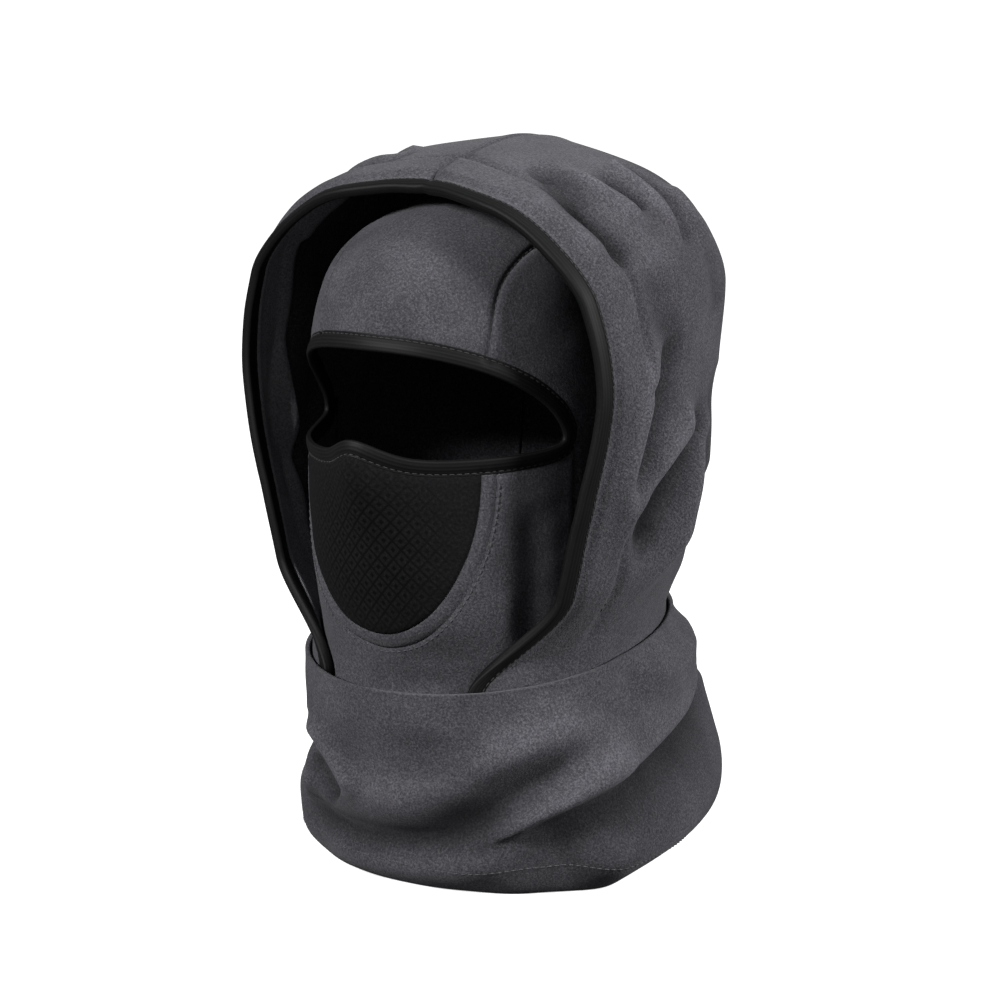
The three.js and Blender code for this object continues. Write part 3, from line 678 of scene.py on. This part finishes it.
def smooth_faces(piece):
    piece.data.polygons.foreach_set("use_smooth", [True] * len(piece.data.polygons))


def thickened(piece, thick):
    """Gives a sheet its thickness inwards, with soft edges."""
    wall = piece.modifiers.new("wall", "SOLIDIFY")
    wall.thickness = thick * MM
    wall.offset = -1
    wall.use_rim = True
    finished(piece, wall)
    smooth_faces(piece)


def measured(points, across, along):
    """The flat width, length and area, in metres, of a grid of points in rows."""
    grid = points.reshape(across + 1, along + 1, 3)
    d1, d2 = np.diff(grid, axis=0), np.diff(grid, axis=1)
    width = np.linalg.norm(d1, axis=-1).sum(0).max() * MM
    length = np.linalg.norm(d2, axis=-1).sum(1).max() * MM
    cell = np.cross(d1[:, :-1] + d1[:, 1:], d2[:-1] + d2[1:]) / 4
    area = np.linalg.norm(cell, axis=-1).sum() * MM * MM
    return round(width, 3), round(length, 3), min(area, round(width, 3) * round(length, 3))


# Millimetres of cloth to one step of a surface's two coordinates, which the hood takes swapped.
CLOTH_MM = {head: (DEGREE, 1), crown: (1, 1), hood: (300, 380), gaiter: (1.55, 150)}


def cloth(name, surface, place, across, along, thick, sink=0, ring=False, trim=None):
    """A panel of cloth laid on a folded surface. place gives the surface's coordinates."""
    piece, i, j = new_grid(name, across, along)
    a, b = place(i, j)
    points = lie(surface, a, b, sink)
    if trim:
        points = trim(points)
    put(piece, points)
    # The fold relief is kept as the lift attribute, which paints shade into the fleece's colour in the
    # hollows and highlight on the backs.
    if surface in PAINTED_SHADE_FOLDS:
        brushed = piece.data.attributes.new("lift", "FLOAT", "POINT")
        brushed.data.foreach_set("value", PAINTED_SHADE_FOLDS[surface](a, b, surface(a, b)))
    across_mm, along_mm = CLOTH_MM[surface]
    x, y = (b, a) if surface is hood else (a, b)
    weave_map(piece, x * across_mm * MM, y * along_mm * MM)
    faces_out(piece, outward(surface, a, b))
    if ring:
        closed(piece)
    thickened(piece, thick)
    rows, columns = np.meshgrid(np.linspace(0, 1, 61), np.linspace(0, 1, 41), indexing="ij")
    a, b = place(rows.ravel(), columns.ravel())
    piece["flat"] = measured(surface(a, b), 60, 40)
    return piece


def band(name, surface, line, rounds, width, deep, ring, along_length, stitch):
    """A binding folded round an edge: a rounded band with a sunk line of sewing near its outer edge.
    line(i, push) gives the surface's coordinates that far back from the edge."""
    profile = 40
    piece, i, j = new_grid(name, rounds, profile)
    turn = -2 * math.pi * j
    middle = (PROUD + 0.35) - deep / 2
    push = width / 2 + width / 2 * np.sign(np.cos(turn)) * np.abs(np.cos(turn)) ** 0.5
    high = middle + deep / 2 * np.sign(np.sin(turn)) * np.abs(np.sin(turn)) ** 0.62
    sunk = 0.4 * np.exp(-(((push - stitch) / 0.55) ** 2)) * np.sign(high - middle)
    a, b = line(i, push)
    puckers = 0.09 * np.sin(i * along_length / 3.2 * 2 * math.pi)
    puckers = puckers * np.exp(-(((push - stitch) / 1.3) ** 2))
    base = lie(surface, a, b)
    out = outward(surface, a, b)
    points = base + out * (high - sunk + puckers)[:, None]
    put(piece, points)
    weave_map(piece, i * along_length * MM, (push + np.where(high > middle, 0, 20)) * MM)
    centre = lie(surface, *line(i, np.full_like(push, width / 2))) + out * middle
    faces_out(piece, points - centre)
    closed(piece)
    if not ring:
        edit(piece)
        bpy.ops.mesh.select_all(action="DESELECT")
        bpy.ops.mesh.select_non_manifold(extend=False, use_wire=False, use_multi_face=False)
        bpy.ops.mesh.edge_face_add()
        bpy.ops.object.mode_set(mode="OBJECT")
    smooth_faces(piece)
    return piece


def one_stitch(length, radius):
    """The one stitch that every row of sewing repeats: a plump bar, pulled in at its two ends."""
    deselect()
    bpy.ops.mesh.primitive_uv_sphere_add(segments=6, ring_count=6, radius=1)
    bar = bpy.context.active_object
    points = np.array([v.co[:] for v in bar.data.vertices])
    points = np.stack([points[:, 2] * length / 2, points[:, 0] * radius, points[:, 1] * radius], -1)
    points[:, 2] -= radius * 0.9 * (points[:, 0] / (length / 2)) ** 2
    faces = [tuple(p.vertices) for p in bar.data.polygons]
    bpy.data.objects.remove(bar)
    return points, faces


def sewing(name, surface, place, radius, lift, spacing=3.4, length=2.7):
    """A row of stitches along a line, each the same stitch turned along the line."""
    t = np.linspace(0, 1, 1200)
    a, b = place(t)
    base = lie(surface, a, b)
    out = outward(surface, a, b)
    gone = np.concatenate([[0], np.cumsum(np.linalg.norm(np.diff(base, axis=0), axis=-1))])
    count = max(2, int(gone[-1] / spacing))
    stops = (np.arange(count) + 0.5) * gone[-1] / count

    def at(values, ways):
        return np.stack([np.interp(ways, gone, values[:, k]) for k in range(3)], -1)

    spot, up = at(base, stops), at(out, stops)
    ahead = at(base, stops + 0.6) - at(base, stops - 0.6)
    ahead /= np.linalg.norm(ahead, axis=-1, keepdims=True)
    side = np.cross(up, ahead)
    side /= np.linalg.norm(side, axis=-1, keepdims=True)
    up = np.cross(ahead, side)
    bar, faces = one_stitch(length, radius)
    points = (spot[:, None] + up[:, None] * lift + bar[None, :, :1] * ahead[:, None]
              + bar[None, :, 1:2] * side[:, None] + bar[None, :, 2:] * up[:, None])
    every = [tuple(v + k * len(bar) for v in face) for k in range(count) for face in faces]
    mesh = bpy.data.meshes.new(name)
    moved = (points.reshape(-1, 3) - (0, AXIS_TO_MIDDLE * WIDE, 0)) * MM
    mesh.from_pydata(moved.tolist(), [], every)
    piece = bpy.data.objects.new(name, mesh)
    bpy.context.scene.collection.objects.link(piece)
    smooth_faces(piece)
    return piece


# ---------- materials ----------
def linear(colour):
    """A sRGB hex value as the linear colour that a shader takes."""
    parts = [int(colour[k:k + 2], 16) / 255 for k in (1, 3, 5)]
    return [c / 12.92 if c <= 0.04045 else ((c + 0.055) / 1.055) ** 2.4 for c in parts] + [1]


def plug(tree, node, **inputs):
    """Sets a node's inputs by name or number. An input is a value, or another node's socket."""
    for key, value in inputs.items():
        socket = node.inputs[int(key[1:]) if key[1:].isdigit() else key.replace("_", " ")]
        if isinstance(value, bpy.types.NodeSocket):
            tree.links.new(value, socket)
        else:
            socket.default_value = value


def add(tree, kind, settings=None, **inputs):
    """Adds a node with its settings and its inputs."""
    node = tree.nodes.new(kind)
    for key, value in (settings or {}).items():
        setattr(node, key, value)
    plug(tree, node, **inputs)
    return node


def blank(name):
    material = bpy.data.materials.new(name)
    material.use_nodes = True
    tree = material.node_tree
    tree.nodes.clear()
    shader = add(tree, "ShaderNodeBsdfPrincipled")
    output = add(tree, "ShaderNodeOutputMaterial")
    tree.links.new(shader.outputs["BSDF"], output.inputs["Surface"])
    return material, tree, shader


def ramp(tree, value, stops):
    node = add(tree, "ShaderNodeValToRGB", i0=value)
    points = node.color_ramp.elements
    while len(points) < len(stops):
        points.new(0.5)
    for point, (place, colour) in zip(points, stops):
        point.position = place
        point.color = linear(colour)
    return node.outputs["Color"]


def brushed_fleece(name, dark, middle, light):
    """Brushed polar fleece, a knit whose face is raised into a short nap. It stands in tufts about
    1 mm across, which mottle the grey, and has a soft bloom where it turns away. Its grey is
    painted darker in the hollows of the folds and lighter on their backs: painted shade and
    painted highlight."""
    material, tree, shader = blank(name)
    where = add(tree, "ShaderNodeTexCoord").outputs["Object"]
    tuft = add(tree, "ShaderNodeTexNoise", Vector=where, Scale=950, Detail=3, Roughness=0.62)
    fibre = add(tree, "ShaderNodeTexNoise", Vector=where, Scale=1700, Detail=2, Roughness=0.7)
    worn = add(tree, "ShaderNodeTexNoise", Vector=where, Scale=34, Detail=3, Roughness=0.55)
    both = add(tree, "ShaderNodeMix", {"data_type": "FLOAT"}, Factor=0.35, i2=tuft.outputs["Fac"],
               i3=fibre.outputs["Fac"])
    grey = ramp(tree, both.outputs[0], [(0.34, dark), (0.5, middle), (0.66, light)])
    shade = ramp(tree, worn.outputs["Fac"], [(0.3, "#d8d8d8"), (0.7, "#ffffff")])
    multiply = {"data_type": "RGBA", "blend_type": "MULTIPLY"}
    toned = add(tree, "ShaderNodeMix", multiply, i0=1, i6=grey, i7=shade)
    # Painted shade and highlight: the fold relief darkens the hollows of the folds and lightens their
    # backs.
    lift = add(tree, "ShaderNodeAttribute", {"attribute_name": "lift"})
    depth = add(tree, "ShaderNodeMapRange", Value=lift.outputs["Fac"], i1=-9, i2=9)
    painted_fold_shade = ramp(tree, depth.outputs[0], [(0.0, "#666666"), (0.5, "#dcdcdc"), (0.8, "#ffffff")])
    grey_with_painted_shade = add(tree, "ShaderNodeMix", multiply, i0=1, i6=toned.outputs[2], i7=painted_fold_shade)
    coarse = add(tree, "ShaderNodeBump", Strength=0.7, Distance=0.0007, Height=tuft.outputs["Fac"])
    fine = add(tree, "ShaderNodeBump", Strength=0.6, Distance=0.0004, Height=fibre.outputs["Fac"],
               Normal=coarse.outputs["Normal"])
    plug(tree, shader, Base_Color=grey_with_painted_shade.outputs[2], Normal=fine.outputs["Normal"], Roughness=0.95,
         Specular_IOR_Level=0.06, Sheen_Weight=0.12, Sheen_Roughness=0.55,
         Sheen_Tint=linear("#b4b4ba"))
    return material


def elastic_tape(name):
    """Knitted elastic tape: black filament yarn in ribs along its length, drawn coarse at 1.6 mm
    apart so that they show. It is smoother than the fleece, so it has a low, broad sheen."""
    material, tree, shader = blank(name)
    where = add(tree, "ShaderNodeUVMap", {"uv_map": "cloth"}).outputs["UV"]
    ribs = add(tree, "ShaderNodeTexWave", {"bands_direction": "Y"}, Vector=where, Scale=190,
               Distortion=0.4, Detail=2, Detail_Scale=2)
    lint = add(tree, "ShaderNodeTexNoise", Vector=where, Scale=900, Detail=3)
    height = add(tree, "ShaderNodeMix", {"data_type": "FLOAT"}, Factor=0.4, i2=ribs.outputs["Fac"],
                 i3=lint.outputs["Fac"])
    colour = ramp(tree, height.outputs[0], [(0.2, "#050505"), (0.6, "#0a0a0a"), (0.9, "#121213")])
    bump = add(tree, "ShaderNodeBump", Strength=0.35, Distance=0.0002, Height=height.outputs[0])
    plug(tree, shader, Base_Color=colour, Normal=bump.outputs["Normal"], Roughness=0.6,
         Specular_IOR_Level=0.12, Sheen_Weight=0.005)
    return material


def perforated_fleece(name):
    """Thin black fleece pricked with a diamond lattice of breathing holes 6 mm apart. Sunk lines a
    little darker than the nap run between the holes, and both fade out away from the mouth."""
    material, tree, shader = blank(name)
    where = add(tree, "ShaderNodeUVMap", {"uv_map": "cloth"}).outputs["UV"]
    turned = add(tree, "ShaderNodeMapping", Vector=where, Rotation=(0, 0, math.radians(45)),
                 Scale=(1 / 0.0062, 1 / 0.0062, 1))
    cell = add(tree, "ShaderNodeTexVoronoi", {"distance": "CHEBYCHEV"}, Vector=turned.outputs[0],
               Scale=1, Randomness=0.0)
    tuft = add(tree, "ShaderNodeTexNoise", Vector=where, Scale=700, Detail=3, Roughness=0.6)
    mouth = add(tree, "ShaderNodeVectorMath", {"operation": "DISTANCE"}, i0=where,
                i1=(0.002, 0.163, 0))
    fade = add(tree, "ShaderNodeMapRange", Value=mouth.outputs["Value"], i1=0.022, i2=0.056,
               i3=1, i4=0)
    edge = add(tree, "ShaderNodeMapRange", Value=cell.outputs["Distance"], i1=0.36, i2=0.47)
    prick = add(tree, "ShaderNodeMapRange", Value=cell.outputs["Distance"], i1=0.20, i2=0.10)
    times = {"operation": "MULTIPLY"}
    lines = add(tree, "ShaderNodeMath", times, i0=edge.outputs[0], i1=fade.outputs[0])
    dots = add(tree, "ShaderNodeMath", times, i0=prick.outputs[0], i1=fade.outputs[0])
    less = {"operation": "SUBTRACT"}
    hole = add(tree, "ShaderNodeMath", less, i0=1.0, i1=dots.outputs[0])
    grain = ramp(tree, tuft.outputs["Fac"], [(0.3, "#0a0a0b"), (0.55, "#111112"), (0.75, "#1a1a1c")])
    blend = {"data_type": "RGBA"}
    netted = add(tree, "ShaderNodeMix", blend, i0=lines.outputs[0], i6=grain, i7=linear("#050505"))
    pricked = add(tree, "ShaderNodeMix", blend, i0=hole.outputs[0], i6=linear("#040404"),
                  i7=netted.outputs[2])
    sunk = add(tree, "ShaderNodeMath", less, i0=hole.outputs[0], i1=lines.outputs[0])
    dimple = add(tree, "ShaderNodeBump", Strength=0.35, Distance=0.0005, Height=sunk.outputs[0])
    nap = add(tree, "ShaderNodeBump", Strength=0.55, Distance=0.0004, Height=tuft.outputs["Fac"],
              Normal=dimple.outputs["Normal"])
    plug(tree, shader, Base_Color=pricked.outputs[2], Normal=nap.outputs["Normal"], Roughness=0.9,
         Specular_IOR_Level=0.06, Sheen_Weight=0.012, Sheen_Tint=linear("#8a8a90"))
    return material


def spun_thread(name, colour, light):
    """Spun polyester sewing thread: dull, faintly fuzzy, with a twist drawn about 1 mm long."""
    material, tree, shader = blank(name)
    where = add(tree, "ShaderNodeTexCoord").outputs["Object"]
    twist = add(tree, "ShaderNodeTexWave", Vector=where, Scale=330, Distortion=1.5, Detail=2)
    shade = ramp(tree, twist.outputs["Fac"], [(0.2, colour), (0.8, light)])
    bump = add(tree, "ShaderNodeBump", Strength=0.4, Distance=0.0001, Height=twist.outputs["Fac"])
    plug(tree, shader, Base_Color=shade, Normal=bump.outputs["Normal"], Roughness=0.75,
         Sheen_Weight=0.1)
    return material


def pale_floor(name):
    """Matt white paper that glows a little more far off, where it stands for the backdrop."""
    material, tree, shader = blank(name)
    where = add(tree, "ShaderNodeTexCoord").outputs["Object"]
    grain = add(tree, "ShaderNodeTexNoise", Vector=where, Scale=40, Detail=2)
    tone = ramp(tree, grain.outputs["Fac"], [(0.3, "#c4c4c4"), (0.7, "#c8c8c8")])
    away = add(tree, "ShaderNodeVectorMath", {"operation": "LENGTH"}, i0=where)
    lit = add(tree, "ShaderNodeMapRange", Value=away.outputs["Value"], i1=0.35, i2=1.6, i3=0.72,
              i4=0.95)
    plug(tree, shader, Base_Color=tone, Roughness=0.9, Specular_IOR_Level=0.1,
         Emission_Color=(1, 1, 1, 1), Emission_Strength=lit.outputs[0])
    return material


FLEECE_GREY = brushed_fleece("brushed polar fleece", "#303033", "#49484d", "#646368")
# The facing is the same grey fleece as the hood, painted lighter: painted light on the hood's inside,
# which the neck seam wears too.
FACING_GREY_PAINTED_LIGHT = brushed_fleece("fleece facing", "#707076", "#8d8c92", "#a5a4aa")
TAPE = elastic_tape("knitted elastic tape")
BREATHER = perforated_fleece("perforated fleece")
THREAD = spun_thread("spun polyester thread", "#232326", "#38373b")
DARK_THREAD = spun_thread("black spun polyester thread", "#0a0a0a", "#151516")


def dressed(piece, material, nodes):
    """Gives a piece its finish and hides the parts of the model that it stands for."""
    piece.data.materials.clear()
    piece.data.materials.append(material)
    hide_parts(*nodes)
    return piece


# ---------- camera and light ----------
def looking(thing, target):
    direction = np.array(target) - np.array(thing.location)
    yaw = math.atan2(direction[1], direction[0]) - math.pi / 2
    pitch = math.atan2(direction[2], math.hypot(direction[0], direction[1])) + math.pi / 2
    thing.rotation_euler = (pitch, 0, yaw)


def around(target, azimuth, elevation, distance):
    """A place round a target: azimuth 0 is straight in front of the face."""
    a, e = math.radians(azimuth), math.radians(elevation)
    x, y, z = target
    reach = distance * math.cos(e)
    return (x + reach * math.sin(a), y - reach * math.cos(a), z + distance * math.sin(e))


TARGET = (0.0097, -0.0219, 0.175)
CAMERA_AZIMUTH, CAMERA_ELEVATION, CAMERA_DISTANCE = 36, 11, 2.0
LENS, SENSOR = 151.2, 36
camera_data = bpy.data.cameras.new("camera")
camera = bpy.data.objects.new("camera", camera_data)
bpy.context.scene.collection.objects.link(camera)
camera.location = around(TARGET, CAMERA_AZIMUTH, CAMERA_ELEVATION, CAMERA_DISTANCE)
looking(camera, TARGET)
camera_data.sensor_width = SENSOR
camera_data.lens = LENS
camera_data.clip_end = 100
bpy.context.scene.camera = camera


def soft_light(name, azimuth, elevation, distance, size, power):
    light = bpy.data.lights.new(name, "AREA")
    light.shape = "DISK"
    light.size = size
    light.energy = power
    lamp = bpy.data.objects.new(name, light)
    bpy.context.scene.collection.objects.link(lamp)
    lamp.location = around(TARGET, azimuth, elevation, distance)
    looking(lamp, TARGET)


soft_light("key", -14, 29, 1.9, 0.5, 58)
soft_light("right_side", 100, 28, 2.0, 0.6, 66)
soft_light("top", 160, 72, 1.9, 0.8, 7)

world = bpy.data.worlds.new("studio")
bpy.context.scene.world = world
world.use_nodes = True
world.node_tree.nodes["Background"].inputs["Color"].default_value = (1, 1, 1, 1)
world.node_tree.nodes["Background"].inputs["Strength"].default_value = 0.15
bpy.context.scene.view_settings.view_transform = "Standard"

deselect()
bpy.ops.mesh.primitive_plane_add(size=40, location=(0, 0, -0.0003))
floor = bpy.context.active_object
floor.name = "floor"
floor.data.materials.append(pale_floor("pale paper floor"))
floor.visible_diffuse = False  # the paper shows, but throws no light back up
floor.visible_glossy = False

# ---------- the inner cap and mask ----------
HALF_GAP = 0.02  # half the gap left between two panels at their seam
CORNER_SPREAD = 300
EYE_STITCH, HOOD_STITCH = 6.6, 7.4  # how far in from its edge each tape is sewn


def cap_side_place(seam_x, side):
    """A side panel of the cap: from its seam round to the corner of the eyes and down to the neck."""
    def seam(i):
        x = leaning(np.full_like(i, seam_x), i) if side > 0 else np.full_like(i, seam_x)
        return over_head(x + HALF_GAP, i)
    seam_turn = eye_turn(seam(np.zeros(1))[0][0], True)
    nape = seam(np.ones(1))[0][0]
    flat = patch(
        seam,
        face_seam,
        lambda j: eye_line(mix(seam_turn, 0, j), EYE_OUTSIDE),
        lambda j: (mix(nape, CORNER_U, j), neck_head(mix(nape, CORNER_U, j))),
    )

    def place(i, j):
        u, v = flat(i, j)
        # Both edges run down at the corner of the eyes, so the rows there are spread backwards.
        u = u + CORNER_SPREAD * i * (1 - i) ** 8 * (1 - j) * j ** 2
        return side * u, v
    return place


def breather_top(i):
    u, _ = breather_line(mix(-1, 1, i), 0)
    return u, eye_height(u, False)


breather_place = patch(
    breather_top,
    lambda i: breather_line(mix(-0.55, 0.55, i), 0),
    lambda j: breather_line(mix(-1, -0.55, j), 0),
    lambda j: breather_line(mix(1, 0.55, j), 0),
)


def cheek_left(j):
    u, v = cheek_top(j)
    return -u, v


face_place = patch(face_inside, face_outside, cheek_left, cheek_top)

cap_centre = cloth(
    "cap_centre_cloth", crown,
    lambda i, j: crown_place(mix(HALF_GAP - CAP_SEAM_RIGHT, CAP_SEAM_LEFT - HALF_GAP, i), j),
    48, 190, FLEECE)
cap_left = cloth("cap_left_cloth", head, cap_side_place(CAP_SEAM_LEFT, 1), 120, 60, FLEECE)
cap_right = cloth("cap_right_cloth", head, cap_side_place(CAP_SEAM_RIGHT, -1), 120, 60, FLEECE)
face = cloth("face_cloth", head, face_place, 220, 34, FLEECE)
breather = cloth("breather_cloth", head, breather_place, 90, 60, FLEECE)
surround = cloth(
    "breather_surround_cloth", head,
    lambda i, j: breather_line(mix(-1, 1, i), mix(0, SURROUND_WIDTH + 2 * GAP, j)),
    220, 8, FLEECE)
eye_tape = band("eye_tape", head, lambda i, push: eye_line(i * 2 * math.pi, push),
                260, EYE_TAPE, FLEECE + 2 * PROUD, True, 430, EYE_STITCH)

# ---------- the hood ----------


def hood_row(i):
    """Rows closer together near the neck, on both sides."""
    low = np.where(i <= 1, i, 2 - i)
    row = low * (0.6 + 0.4 * low)
    return np.where(i <= 1, row, 2 - row)


def hood_place(side, front, rear):
    """A panel between two distances back from the edge, or to the rear seam where rear is None."""
    def place(i, j):
        s = hood_row(i)
        near = back_from_edge(s, front)
        far = np.ones_like(s) if rear is None else back_from_edge(s, rear)
        close = j ** 1.4 if rear is None else j
        return (s if side > 0 else 2 - s), mix(near, far, close)
    return place


def keep_clear(side):
    """Keeps a panel on its own side of the middle seam."""
    def trim(points):
        points[:, 0] = np.where(points[:, 0] * side < HALF_GAP, side * HALF_GAP, points[:, 0])
        return points
    return trim


START = EDGE_TAPE - 1.2
hood_cloths, facings = [], []
for word, side in (("left", 1), ("right", -1)):
    hood_cloths.append(cloth(
        f"hood_{word}_cloth", hood, hood_place(side, START, None),
        170, 170, FLEECE, trim=keep_clear(side)))
    facings.append(cloth(
        f"hood_{word}_facing_cloth", hood, hood_place(side, START, EDGE_TAPE + FACING_WIDTH),
        130, 12, FACING, sink=FLEECE + LAYER_GAP, trim=keep_clear(side)))


def hood_edge(i, push):
    s = hood_row(2 * i)
    return s, back_from_edge(s, push)


hood_tape = band("hood_tape", hood, hood_edge, 300, EDGE_TAPE,
                 FLEECE + LAYER_GAP + FACING + 2 * PROUD, False, 640, HOOD_STITCH)

# ---------- the gaiter ----------
gaiter_cloth = cloth(
    "gaiter_cloth", gaiter, lambda i, j: (mix(-180, 180, i), j), 340, 128, FLEECE, ring=True)


def neck_ring():
    """The turned-in seam that joins gaiter, hood and cap, with a soft rounded edge."""
    piece, i, j = new_grid("neck_seam_cloth", 200, 20)
    u = i * 360
    z = neck_z(u)
    outer = neck(u, FLEECE + 2 * GAP, z)
    inner = head(u, z / TALL) - outward(head, u, z / TALL) * FLEECE
    turn = j * 2 * math.pi
    across = 0.5 - 0.5 * np.sign(np.cos(turn)) * np.abs(np.cos(turn)) ** 0.5
    high = 0.5 + 0.5 * np.sign(np.sin(turn)) * np.abs(np.sin(turn)) ** 0.5
    points = mix(outer, inner, across[:, None])
    points[:, 2] = z - NECK_SEAM_TALL * (1 - high)
    put(piece, points)
    weave_map(piece, i * 0.56, j * 0.03)
    middle = mix(outer, inner, 0.5)
    middle[:, 2] = z - NECK_SEAM_TALL / 2
    faces_out(piece, points - middle)
    closed(piece)
    smooth_faces(piece)
    return piece


neck_seam = neck_ring()

# ---------- sewing ----------


def hood_sewing_line(side):
    def place(t):
        s = mix(0.19, 0.985, t)
        return (s if side > 0 else 2 - s), back_from_edge(s, CASING)
    return place


def over_crown(t):
    first = back_from_edge(np.ones(1), EDGE_TAPE + 2)[0]
    s = np.where(t < 0.5, 1.0, mix(0.9995, 0.22, (t - 0.5) / 0.5))
    return s, np.where(t < 0.5, mix(first, 0.999, t / 0.5), 0.9995)


def cap_seam(x):
    return lambda t: crown_place(np.full_like(t, x), mix(0.01, 0.99, t))


# Each line of sewing: where it runs, the thread's radius and how high it lies on the cloth.
THIN, THICK = 0.28, 0.36
SURROUND_STITCH = GAP + SURROUND_WIDTH + 1.8
SEWING = {
    "cap_left_sewing": (crown, cap_seam(CAP_SEAM_LEFT), THIN, 0.05),
    "cap_right_sewing": (crown, cap_seam(-CAP_SEAM_RIGHT), THIN, 0.05),
    "surround_sewing": (
        head, lambda t: breather_line(mix(-0.97, 0.97, t), SURROUND_STITCH), THICK, 0.05),
    "eye_tape_sewing": (head, lambda t: eye_line(t * 2 * math.pi, EYE_STITCH), THIN, 0.32),
    "hood_left_sewing": (hood, hood_sewing_line(1), THICK, 0.2),
    "hood_right_sewing": (hood, hood_sewing_line(-1), THICK, 0.2),
    "hood_tape_sewing": (
        hood, lambda t: hood_edge(mix(0.03, 0.97, t), HOOD_STITCH), THIN, 0.32),
    "hood_seam_sewing": (hood, over_crown, THIN, 0.0),
    "gaiter_hem_sewing": (gaiter, lambda t: (t * 360, np.full_like(t, 0.2)), THICK, 0.1),
    "gaiter_back_sewing": (
        gaiter, lambda t: (np.full_like(t, 180.0), mix(0.23, 0.985, t)), THICK, 0.3),
}
sewn = {name: sewing(name, *line) for name, line in SEWING.items()}

# ---------- finishes, and what each piece stands for ----------
ROOT_PIECES = [
    (cap_centre, FLEECE_GREY, "fleece", ["cap_centre_panel"]),
    (cap_left, FLEECE_GREY, "fleece", ["cap_left_panel"]),
    (cap_right, FLEECE_GREY, "fleece", ["cap_right_panel"]),
    (face, FLEECE_GREY, "fleece", ["face_panel"]),
    (breather, BREATHER, "breather", ["breather_panel"]),
    (surround, FLEECE_GREY, "fleece", ["breather_surround"]),
    (eye_tape, TAPE, "binding", ["eye_binding"]),
    (gaiter_cloth, FLEECE_GREY, "fleece", ["gaiter_tube"]),
    (neck_seam, FACING_GREY_PAINTED_LIGHT, "facing", ["neck_seam_allowance"]),
    (sewn["cap_left_sewing"], THREAD, "thread", ["cap_left_seam_thread"]),
    (sewn["cap_right_sewing"], THREAD, "thread", ["cap_right_seam_thread"]),
    (sewn["surround_sewing"], THREAD, "thread", ["surround_stitch"]),
    (sewn["eye_tape_sewing"], DARK_THREAD, "thread", []),
    (sewn["gaiter_hem_sewing"], THREAD, "thread", ["gaiter_hem_stitch"]),
    (sewn["gaiter_back_sewing"], THREAD, "thread", ["gaiter_back_seam_thread"]),
]
HOOD_PIECES = [
    (hood_cloths[0], FLEECE_GREY, "fleece", ["hood_left_panel"]),
    (hood_cloths[1], FLEECE_GREY, "fleece", ["hood_right_panel"]),
    (facings[0], FACING_GREY_PAINTED_LIGHT, "facing", ["hood_left_facing"]),
    (facings[1], FACING_GREY_PAINTED_LIGHT, "facing", ["hood_right_facing"]),
    (hood_tape, TAPE, "binding", ["hood_edge_binding"]),
    (sewn["hood_left_sewing"], THREAD, "thread", ["hood_left_topstitch"]),
    (sewn["hood_right_sewing"], THREAD, "thread", ["hood_right_topstitch"]),
    (sewn["hood_tape_sewing"], DARK_THREAD, "thread", []),
    (sewn["hood_seam_sewing"], THREAD, "thread", ["hood_seam_thread"]),
]
for piece, material, slot, nodes in ROOT_PIECES:
    dressed(piece, material, nodes)
    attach(piece, "mask_and_gaiter")
# The hood's pieces keep their places, with their transforms baked into their meshes.
for piece, material, slot, nodes in HOOD_PIECES:
    dressed(piece, material, nodes)
    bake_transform(piece)
